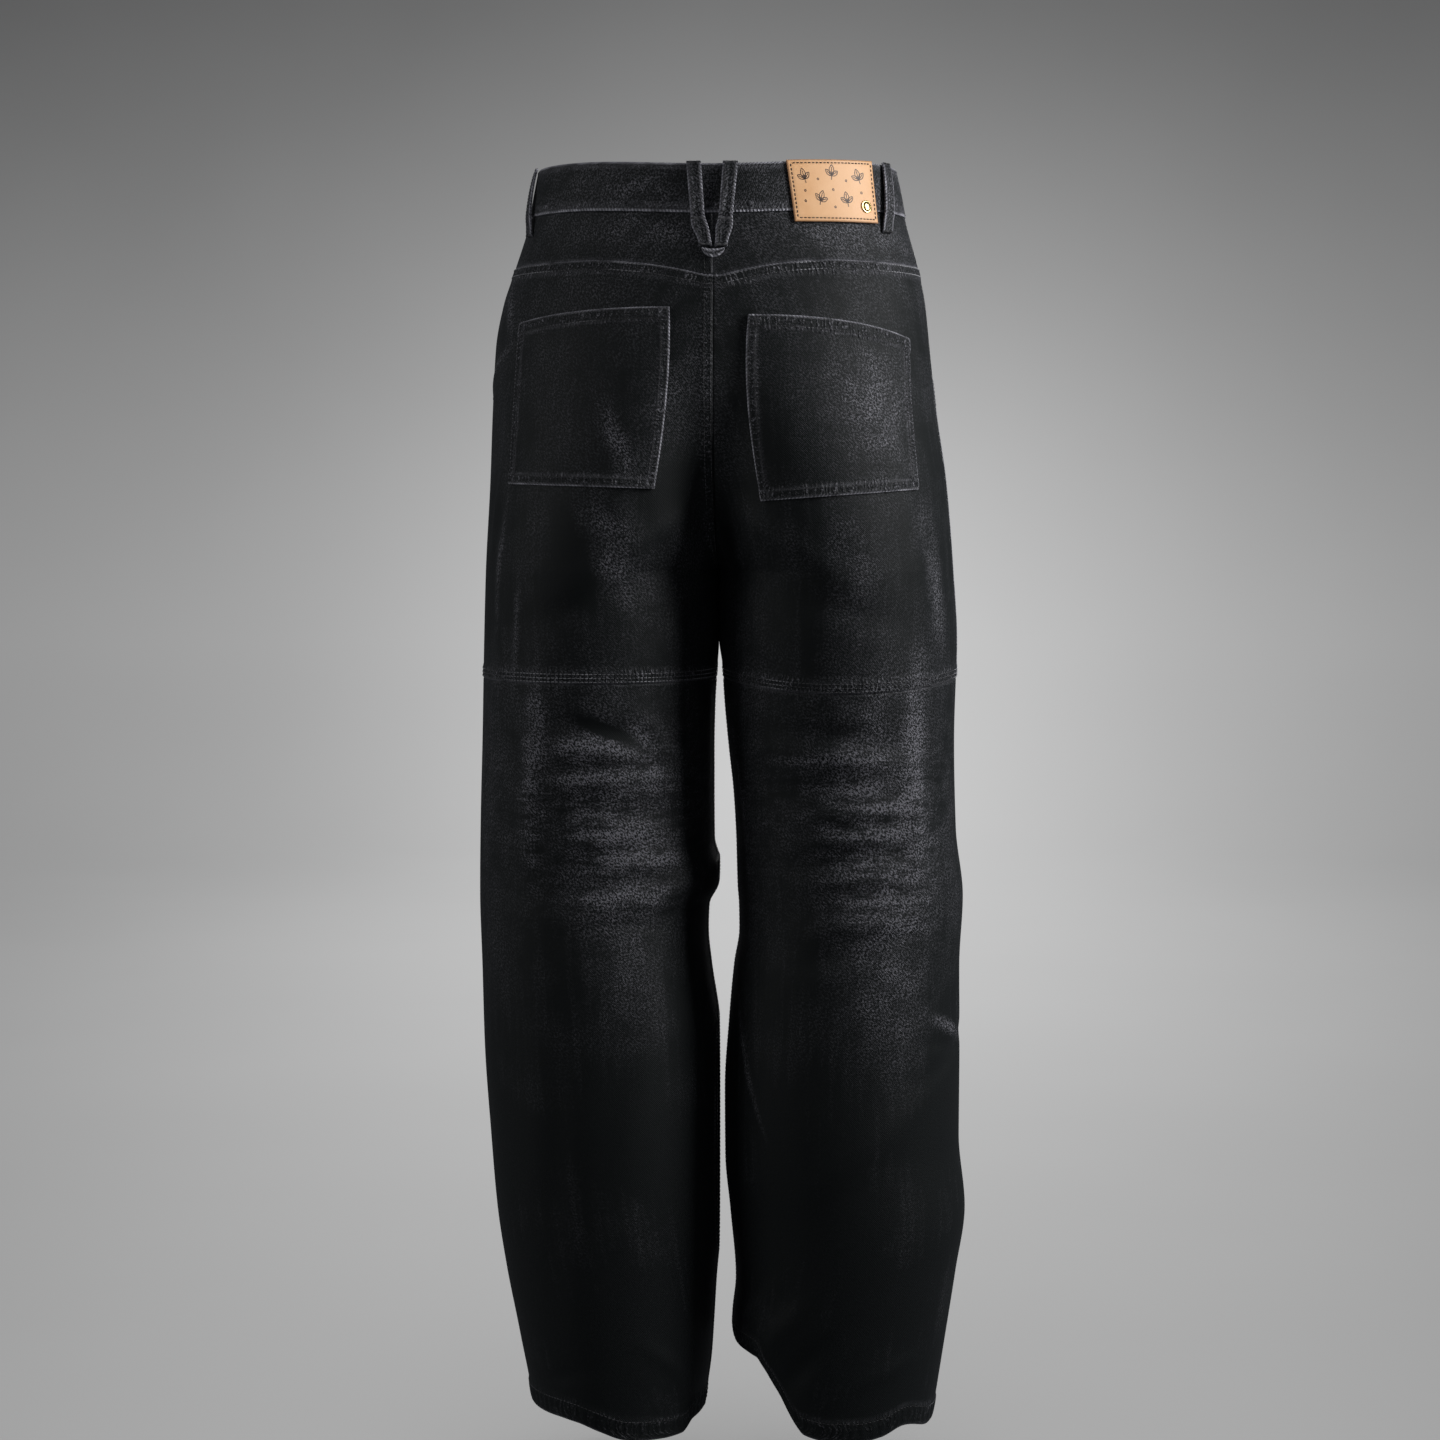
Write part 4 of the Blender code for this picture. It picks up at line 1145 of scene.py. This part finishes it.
def build_fly_layer(name, to_left, to_right, end, lift, thick, materials):
    """A flat layer behind the closed fly: the shield, or the zip's plain tape."""
    x = np.linspace(-to_right, to_left, 19)[None, :] + np.zeros((60, 1))
    z = np.linspace(BAND_BOTTOM - FRONT_DROP - SEAM_GAP, end, 60)[:, None] + 0 * x
    outer, inner = (across_middle(-1, x, z, away) for away in (lift, lift - thick))
    layers = {"fade": 0.0, "wear": 0.5 * bell(nearest_edge(outer), 0.0012), "pucker": 0.0}
    made = grid_mesh(name + "_cloth", outer, inner, pair(x, -z), pair(x, -z), layers, materials)
    finish_piece(made, name)


# ---------------------------------------------------------------- leather patch and metal

PATCH = ((0.0587, 0.0322), (0.1281, 0.0358), (0.0662, -0.0184), (0.1337, -0.0167))
PATCH_SIZE = np.array([0.0840, 0.0536])
PATCH_SEAM = 0.0030


def patch_point(across, down, lift):
    """A point on the patch: across and down run from 0 to 1, lift is above its outer face."""
    across, down = np.broadcast_arrays(np.asarray(across, float), np.asarray(down, float))
    out, z = (between(corners, across, down) for corners in zip(*PATCH))
    wave = 0.0004 * np.sin(5.0 * across + 1.0) * np.sin(4.0 * down)
    return cloth_point("right", angle_at("right", out, z), z, BAND_PROUD + LAY_GAP + LEATHER + wave + lift)


def build_patch():
    across, down = spaced(PATCH_SIZE[0], 0.0016)[None, :], spaced(PATCH_SIZE[1], 0.0016)[:, None]
    face = patch_point(across, down, 0.0)
    normal = unit(patch_point(across, down, 0.01) - face)
    away = nearest_edge(face)
    groove = 0.0003 * bell(away - PATCH_SEAM, 0.0007)
    outer = face - normal * (0.0005 * bell(away, 0.0007) + groove)[..., None]
    uv = pair(across * PATCH_SIZE[0], down * PATCH_SIZE[1])
    layers = {"wear": bell(away, 0.0009) + 0.35 * bell(away - PATCH_SEAM, 0.0008), "fade": 0.0}
    inner = patch_point(across, down, -LEATHER)
    made = grid_mesh("waist_patch_leather", outer, inner, uv, uv, layers, [leather])
    finish_piece(made, "waist_patch")
    sewn["waist_patch"] = outer, normal
    rows = [row for edge in EDGES for row in rows_on("waist_patch", edge, PATCH_SEAM, clear=PATCH_SEAM)]
    stitches("waist_patch_stitch", rows, brown_thread, 0.0024, 0.0034, 0.00095, "tan_leather")


def ribbon(path, width):
    """Corner points and faces of a thin flat ribbon along a path in the patch's own metres."""
    tangent = np.gradient(path, axis=0)
    side = np.stack([-tangent[:, 1], tangent[:, 0]], axis=-1)
    side /= np.linalg.norm(side, axis=-1, keepdims=True) + 1e-12
    i, n = np.arange(len(path) - 1), len(path)
    points = np.concatenate([path + side * width / 2, path - side * width / 2])
    return points, np.stack([i, i + 1, n + i + 1, n + i], -1)


def turned_flat(line, degrees):
    """A line in a plane, turned about the origin."""
    c, s = math.cos(math.radians(degrees)), math.sin(math.radians(degrees))
    return line @ np.array([[c, s], [-s, c]])


def leaf(length, width):
    """Outline and midrib of a pointed leaf that grows from the origin along x."""
    t = np.linspace(0, 1, 13)
    bow = width / 2 * np.sin(math.pi * t) ** 0.85
    return [np.stack([length * t, bow], -1), np.stack([length * t, -bow], -1), pair(length * 0.8 * t, 0.0)]


def build_print():
    """A printed sprig of three leaves, repeated in two staggered rows, with dots between sprigs."""
    leaves = ((90, 1.0), (38, 0.8), (142, 0.8))
    sprig = [turned_flat(line, turn) * size for turn, size in leaves for line in leaf(0.0096, 0.0046)]
    sprig.append(pair(0.0, np.linspace(-0.0036, 0, 6)))
    turns = np.linspace(0, math.tau, 13)
    dot = 0.0008 * pair(np.cos(turns), np.sin(turns))
    sprigs = table("x y angle", "15 17 12  42 14 -8  69 17 15  28 36 -20  55 37 6")
    dots = table("x y", "28 17  56 18  13 36  42 41  42 26  14 27  70 28")
    lines = [turned_flat(line, t) * (1, -1) + (x, y) for x, y, t in zip(*sprigs.values()) for line in sprig]
    lines += [dot + place for place in zip(*dots.values())]
    points, faces, count = [], [], 0
    for line in lines:
        corners, quads = ribbon(line, 0.00075)
        points.append(corners)
        faces.append(quads + count)
        count += len(corners)
    flat = np.concatenate(points) / PATCH_SIZE
    placed = patch_point(flat[:, 0], flat[:, 1], 0.00006)
    finish_piece(make_mesh("waist_patch_print", placed, np.concatenate(faces), [print_ink]))


def build_round(node, place, axis, radius, height, profile, material, sides=56):
    """A round metal piece from pairs of radius and height, as shares of its own, along its axis."""
    axis = unit(axis)
    side = unit(np.cross(axis, [0.0, 0.0, 1.0]))
    up = np.cross(side, axis)
    turns = np.linspace(0, math.tau, sides, endpoint=False)
    circle = np.cos(turns)[:, None] * side + np.sin(turns)[:, None] * up
    points = [place + axis * (h * height) + max(r * radius, 1e-5) * circle for r, h in profile]
    i = np.arange(sides)
    after = (i + 1) % sides
    strip = np.stack([i + sides, after + sides, after, i], -1)
    faces = np.concatenate([strip + row * sides for row in range(len(profile) - 1)])
    made = make_mesh(node + "_metal", np.concatenate(points), faces, [material], 40)
    finish_piece(made, node)


def build_metal():
    """A plain domed stud on the patch, and the waistband's shank button."""
    place = patch_point(0.87, 0.745, 0.0001)
    axis = patch_point(0.87, 0.745, 0.01) - place
    profile = [(0.90, 0.0), (1.0, 0.15), (1.0, 0.28), (0.93, 0.42), (0.82, 0.42)]
    profile += [(0.78 * math.cos(t), 0.42 + 0.58 * math.sin(t)) for t in np.linspace(0, math.pi / 2, 9)]
    build_round("patch_stud", place, axis, 0.0055, 0.0022, profile, brass)

    girth, z = np.array(girth_of(0.0150)), np.array(BAND_BOTTOM + BAND_HEIGHT / 2 - FRONT_DROP)
    place = on_girth(cloth_point, girth, z, BAND_PROUD + LAY_GAP)
    axis = on_girth(cloth_point, girth, z, 0.02) - place
    profile = [(0.45, 0), (0.45, 0.35), (0.93, 0.40), (1, 0.55), (1, 0.80), (0.95, 1), (0.86, 1)]
    profile += [(0.80, 0.84), (0.55, 0.78), (0.50, 0.84), (0.30, 0.90), (0, 0.92)]
    build_round("waist_button", place, axis, 0.0085, 0.0034, profile, gunmetal)


# ---------------------------------------------------------------- sewing


def rows_on(name, edge, *distances, clear=0.0, trim=(0.0, 1.0)):
    """Points and normals of rows sewn at distances from an edge of a piece.

    clear keeps them off the two neighbouring edges, and trim gives the share of the edge that they cover.
    """
    points, normals = sewn[name]
    distance = edge_distances(points)[edge][0]
    if edge in ("start", "end"):
        distance, points, normals = distance.T, points.transpose(1, 0, 2), normals.transpose(1, 0, 2)
    if edge in ("bottom", "end"):
        distance, points, normals = distance[::-1], points[::-1], normals[::-1]
    columns = np.arange(points.shape[1])
    rows = []
    for away in distances:
        above = np.clip((distance < away).sum(axis=0), 1, len(distance) - 1)
        low, high = distance[above - 1, columns], distance[above, columns]
        share = np.clip((away - low) / np.maximum(high - low, 1e-9), 0, 1)[:, None]
        path, normal = (
            grid[above - 1, columns] * (1 - share) + grid[above, columns] * share for grid in (points, normals)
        )
        along = running(path)
        total = along[-1]
        inside = (along >= max(clear, trim[0] * total)) & (along <= min(total - clear, trim[1] * total))
        rows.append((path[inside], normal[inside]))
    return rows


def capsule():
    """A stitch along x from -0.5 to 0.5 with a radius of 1 in y and z, and its faces."""
    rings = ((-0.5, 0.35, -0.9), (-0.36, 0.95, -0.1), (0.36, 0.95, -0.1), (0.5, 0.35, -0.9))
    turns = np.arange(4) * math.pi / 2 + math.pi / 4
    points = [(x, r * math.cos(t) * 1.25, r * math.sin(t) + drop) for x, r, drop in rings for t in turns]
    ways = [(4 * r, i, (i + 1) % 4) for r in range(3) for i in range(4)]
    sides = [(r + i, r + after, r + 4 + after, r + 4 + i) for r, i, after in ways]
    return np.array(points), np.array(sides + [(3, 2, 1, 0), (12, 13, 14, 15)])


def threads(name, parts, width, material):
    """Separate threads as one piece. Its parts give their places, vectors along them and normals."""
    places, along, normals = map(np.concatenate, zip(*parts))
    template, faces = capsule()
    long = np.linalg.norm(along, axis=-1, keepdims=True)
    along = along / np.maximum(long, 1e-9)
    across = unit(np.cross(normals, along))
    normals = np.cross(along, across)
    x, y, z = (template[None, :, k : k + 1] for k in range(3))
    points = places[:, None] + along[:, None] * x * long[:, None] + across[:, None] * y * width / 2
    points = points + normals[:, None] * (z * width / 2 + width * 0.18)
    index = np.arange(len(places))[:, None, None] * len(template)
    made = make_mesh(name, points.reshape(-1, 3), (faces[None] + index).reshape(-1, 4), [material])
    return finish_piece(made)


def stitches(name, rows, material, length=0.0028, pitch=0.0036, width=0.00062, slot="black_denim"):
    """Rows of sewn stitches as one piece, each a short thread half sunk in the cloth."""
    parts = []
    for path, normal in rows:
        run = running(path)
        count = int(run[-1] / pitch)
        if not count:
            continue
        at = (np.arange(count) + 0.5) * run[-1] / count
        start, end, up = (
            np.stack([np.interp(at + shift, run, values[:, k]) for k in range(3)], -1)
            for values, shift in ((path, -length / 2), (path, length / 2), (normal, 0.0))
        )
        parts.append(((start + end) / 2, end - start, up))
    return threads(name, parts, width, material)


def bar_tack(points, normals, share):
    """Threads of a bar tack on a loop: side by side across it, at a share of its length."""
    row = int(len(points) * share)
    columns = np.linspace(0.10, 0.90, 17) * (points.shape[1] - 1)
    low = np.clip(columns.astype(int), 0, points.shape[1] - 2)
    part = (columns - low)[:, None]
    place = points[row, low] * (1 - part) + points[row, low + 1] * part
    down = unit(points[min(row + 2, len(points) - 1), low] - points[max(row - 2, 0), low])
    return place, down * 0.0020, normals[row, low]


def fly_rows():
    """The row beside the lap's edge, and the two curved rows that hold the fly."""
    rows = rows_on("front_upper_left", "end", 0.0018, clear=0.001, trim=(0.0, 0.42))
    turn = np.linspace(0, math.pi / 2, 24)
    bend, width, apart, foot = 0.034, 0.036, 0.0058, 0.003
    for inset in (0.0, apart):
        reach = width - inset
        straight = np.linspace(-0.026, FLY_END_Z + bend, 60)
        z = np.concatenate([straight, FLY_END_Z + bend - (bend - inset) * np.sin(turn)])
        x = np.concatenate([np.full(60, reach), foot + (reach - foot) * np.cos(turn)])
        angle = -angle_at("left", x, z)
        rows.append((cloth_point("left", angle, z, lap_lift(x, z) + 0.0001), outward("left", angle, z)))
    return rows


def build_sewing():
    """Every visible seam's topstitching, as lists of what is sewn on each piece."""
    made = {name: [] for name in shown}

    def sew(name, rows, material=thread, label=None, **size):
        made[name].append(stitches((label or name) + "_stitch", rows, material, **size))

    rows = rows_on("waistband", "top", 0.0024) + rows_on("waistband", "bottom", 0.0024)
    sew("waistband", rows + rows_on("waistband", "start", 0.0024, clear=0.003))
    edge_rows, flat_seam = (0.0018, 0.0072), (0.0018, 0.0050, 0.0084)
    for leg in LEGS:
        name = f"back_upper_{leg}"
        rows = rows_on(name, "top", 0.0018, 0.0080) + rows_on(name, "bottom", *flat_seam)
        sew(name, rows, pale_thread, width=0.00080)
        if leg == "left":
            sew(name, rows_on(name, "end", *edge_rows, clear=0.002, trim=(0.0, 0.78)), label="back_middle")
            sew("yoke_left", rows_on("yoke_left", "end", *edge_rows))
        name = f"back_pocket_{leg}"
        rows = rows_on(name, "top", 0.0020, 0.0100, clear=0.0020)
        for edge in EDGES[1:]:
            for away in (0.0018, 0.0074):
                rows += rows_on(name, edge, away, clear=away)
        sew(name, rows, pitch=0.0033, length=0.0026)
        name = f"front_upper_{leg}"
        rows = rows_on(name, "bottom", *flat_seam)
        rows += rows_on(name, "start", 0.0018, 0.0074, clear=0.001, trim=(0.0, 0.47))
        sew(name, rows, pale_thread)
        if leg == "left":
            sew(name, fly_rows(), pale_thread, label="fly", width=0.00075)
        for name in (f"back_lower_{leg}", f"front_lower_{leg}"):
            sew(name, rows_on(name, "bottom", 0.0165) + rows_on(name, "end", *edge_rows, clear=0.002))
    for name in LOOPS:
        rows = [row for edge in ("start", "end") for row in rows_on(name, edge, 0.0024, clear=0.003)]
        sew(name, rows, pitch=0.0030, length=0.0024, width=0.00055)
        shares = (0.045, 0.955, 0.68) if "back" in name else (0.045, 0.955)
        tacks = [bar_tack(*sewn[name], share) for share in shares]
        made[name].append(threads(name + "_tack", tacks, 0.0006, thread))
    return made


# What each piece of cloth was cut to, seam to seam: width, length and area, how it's held and by what
SHEETS = """
waistband 0.910 0.042 0.0368 hung yoke_left
yoke_left 0.235 0.053 0.0100 hung waistband
yoke_right 0.231 0.053 0.0098 hung waistband
back_upper_left 0.364 0.405 0.1048 hung yoke_left
back_upper_right 0.364 0.404 0.1049 hung yoke_right
front_upper_left 0.340 0.447 0.0972 hung waistband
front_upper_right 0.340 0.442 0.0967 hung waistband
back_lower_left 0.345 0.695 0.1971 hung back_upper_left
back_lower_right 0.343 0.657 0.1970 hung back_upper_right
front_lower_left 0.341 0.697 0.1982 hung front_upper_left
front_lower_right 0.334 0.656 0.1973 hung front_upper_right
pocket_facing_left 0.128 0.211 0.0124 hung front_upper_left
pocket_facing_right 0.127 0.206 0.0122 hung front_upper_right
back_pocket_left 0.151 0.151 0.0216 laid back_upper_left
back_pocket_right 0.157 0.155 0.0224 laid back_upper_right
loop_back_left 0.0150 0.0720 0.00087 laid waistband
loop_back_right 0.0150 0.0720 0.00089 laid waistband
loop_side_left 0.0132 0.0660 0.00079 laid waistband
loop_side_right 0.0130 0.0640 0.00079 laid waistband
loop_front_left 0.0128 0.0610 0.00076 laid waistband
loop_front_right 0.0128 0.0610 0.00076 laid waistband
loop_tip 0.0275 0.0100 0.00016 folded yoke_left
fly_shield 0.055 0.166 0.0090 hung waistband
zip 0.028 0.155 0.0043 hung front_upper_left
waist_patch 0.0845 0.0540 0.00434 laid waistband
"""


def declare(sewing):
    """Splits each line of the table of cut pieces into its name, numbers, hold and holder; nothing more is
    done with them.
    """
    for line in SHEETS.split("\n")[1:-1]:
        name, *numbers, held, under = line.split()


# ---------------------------------------------------------------- studio


def paper_material():
    """Grey paper that glows by itself, as painted light: a painted pool of light, brighter in the middle and
    darker below, and less glow on the floor, with painted shade round the part.
    """
    m = Nodes("studio_paper_painted_glow")
    place = m.place()
    east, north, rise = m.split(place)
    upward = m.maths("MAXIMUM", m.split(m.add("NewGeometry").outputs["Normal"])[2], 0.0)

    def away(value, middle, width):
        return m.times(m.maths("SUBTRACT", value, middle), 1.0 / width)

    # Painted pool of light: brightest in the middle, falling off to the sides and above and below a height
    # just over the floor
    painted_light_pool = m.times_plus(m.fall(away(east, 0.0, 1.25)), 0.32, 0.25)
    shade = m.times(painted_light_pool, m.fall(away(rise, -0.90, 1.62)))
    shade = m.times_plus(m.noise(place, (1.2, 1.2, 1.2), 3.0), 0.03, shade)
    # Painted shadow: the floor glows less near the part, and everywhere a little less to leave room for the
    # floor sun
    painted_floor_shade = m.times_plus(m.fall(away(east, 0.0, 2.0), away(north, 0.0, 2.0)), 0.16, 0.13)
    shade = m.maths("SUBTRACT", shade, m.times(painted_floor_shade, upward), clamp=True)
    colour = m.add("CombineColor", Red=shade, Green=shade, Blue=shade).outputs[0]
    looks = {"Base_Color": (0.20, 0.20, 0.20), "Roughness": 0.85, "Specular_IOR_Level": 0.1}
    return m.done(Emission_Color=colour, Emission_Strength=1.0, **looks)


def build_room():
    """A large round pale room with a coved floor, below the hems."""
    floor_z, radius, cove, high, around = -1.103, 5.0, 0.5, 3.4, 96
    turn = np.linspace(0, math.pi / 2, 13)
    profile = [(r, floor_z) for r in (0.25, 0.6, 1.1, 1.8, 2.7, 3.6)]
    profile += [(radius - cove + cove * math.sin(t), floor_z + cove - cove * math.cos(t)) for t in turn]
    profile += [(radius, floor_z + h) for h in np.linspace(cove + 0.3, high, 7)]
    angles = np.arange(around) * math.tau / around
    points = [(r * math.cos(a), r * math.sin(a), z) for r, z in profile for a in angles]
    points.insert(0, (0.0, 0.0, floor_z))
    faces = [(0, 1 + i, 2 + i, 1 + (i + 2) % around) for i in range(0, around, 2)]
    for first in range(1, 1 + (len(profile) - 1) * around, around):
        for i in range(around):
            after = (i + 1) % around
            faces.append((first + i, first + around + i, first + around + after, first + after))
    stage = make_mesh("studio_backdrop", points, faces, [paper_material()], 180)
    stage.visible_diffuse = stage.visible_glossy = stage.visible_shadow = False
    return stage


def placed(name, data, place, right, up, back):
    """A light or camera in the scene, looking away from back."""
    made = bpy.data.objects.new(name, data)
    made.matrix_world = Matrix([*zip(right, up, back, place), (0, 0, 0, 1)])
    bpy.context.scene.collection.objects.link(made)
    return made


# Soft lights: what they light, place, aim, size and power
LIGHTS = {
    "key_light": ("studio", (-1.75, 0.50, 0.50), (0.0, 0.0, -0.25), (0.5, 1.1), 33),
    "fill_light": ("studio", (2.3, 1.0, 0.3), (0.0, 0.0, -0.3), (1.0, 1.6), 14),
    "front_light": ("studio", (-0.1, -2.7, 0.6), (0.0, 0.0, -0.35), (1.2, 1.6), 40),
    "metal_light_back": ("metal_light", (0.5, 2.4, 1.0), (0.0, 0.0, 0.0), (2.0, 2.0), 14),
    "metal_light_front": ("metal_light", (-0.5, -2.4, 1.0), (0.0, 0.0, 0.0), (2.0, 2.0), 2),
}


def build_lights(stage):
    """Light from the right and the front on the part, and gentle light on the metal and the floor."""
    kinds = ("studio", "metal_light", "floor_light")
    lit = {kind: bpy.data.collections.new("lit_by_" + kind) for kind in kinds}
    lit["floor_light"].objects.link(stage)
    for obj in bpy.data.objects:
        if obj.type == "MESH" and obj is not stage:
            lit["studio"].objects.link(obj)
            if obj.name.endswith("_metal") or obj.name.startswith("waist_patch"):
                lit["metal_light"].objects.link(obj)
    for name, (kind, place, aim, size, power) in LIGHTS.items():
        data = bpy.data.lights.new(name, "AREA")
        data.shape, data.size, data.size_y, data.energy = "RECTANGLE", *size, power
        back = unit(np.array(place) - np.array(aim))
        side = unit(np.cross([0.0, 0.0, 1.0], back))
        light = placed(name, data, place, side, np.cross(back, side), back)
        light.visible_camera = False
        light.light_linking.receiver_collection = lit[kind]
    sun = bpy.data.lights.new("floor_light", "SUN")
    sun.energy, sun.angle = 2.0, 1.0
    overhead = placed("floor_light", sun, (0, 0, 0), (1, 0, 0), (0, 1, 0), (0, 0, 1))
    overhead.light_linking.receiver_collection = lit["floor_light"]
    world = bpy.context.scene.world or bpy.data.worlds.new("studio")
    bpy.context.scene.world = world
    world.use_nodes = True
    background = world.node_tree.nodes["Background"].inputs
    background["Color"].default_value = (0.92, 0.95, 1.0, 1.0)
    background["Strength"].default_value = 0.085


def build_camera():
    """The photo's camera: its distance, height and turn, and its focal length in the photo's pixels."""
    distance, eye, yaw, photo, focal = 2.4, -0.2546, math.radians(2.3), 1440, 2760.0
    pitch = math.atan(210 / focal)
    data = bpy.data.cameras.new("photo_camera")
    data.sensor_width, data.lens, data.clip_end = 36.0, focal / photo * 36, 50.0
    data.shift_x = 1.0 / photo
    place = (-distance * math.sin(yaw), distance * math.cos(yaw), eye)
    level = np.array([math.sin(yaw), -math.cos(yaw), 0.0])
    ahead = level * math.cos(pitch) + np.array([0, 0, -math.sin(pitch)])
    right = np.cross(level, [0.0, 0.0, 1.0])
    camera = placed("photo_camera", data, place, right, np.cross(right, ahead), -ahead)
    bpy.context.scene.camera = camera


for each in LEGS:
    build_upper(each)
    build_lower(each)
    build_facing(each)
    build_pocket(each)
build_waistband()
for loop, shape in LOOPS.items():
    build_loop(loop, *shape)
build_loop_tip()
build_patch()
build_print()
build_metal()
shield_depth = -DENIM - 2 * LAY_GAP - 0.0010
build_fly_layer("fly_shield", 0.036, 0.018, FLY_END_Z, shield_depth, DENIM, [denim, denim_back])
build_fly_layer("zip", 0.014, 0.014, FLY_END_Z + 0.012, -DENIM - LAY_GAP, 0.0010, [zip_tape])
declare(build_sewing())
build_lights(build_room())
build_camera()
bpy.context.scene.view_settings.view_transform = "Standard"
bpy.context.view_layer.update()
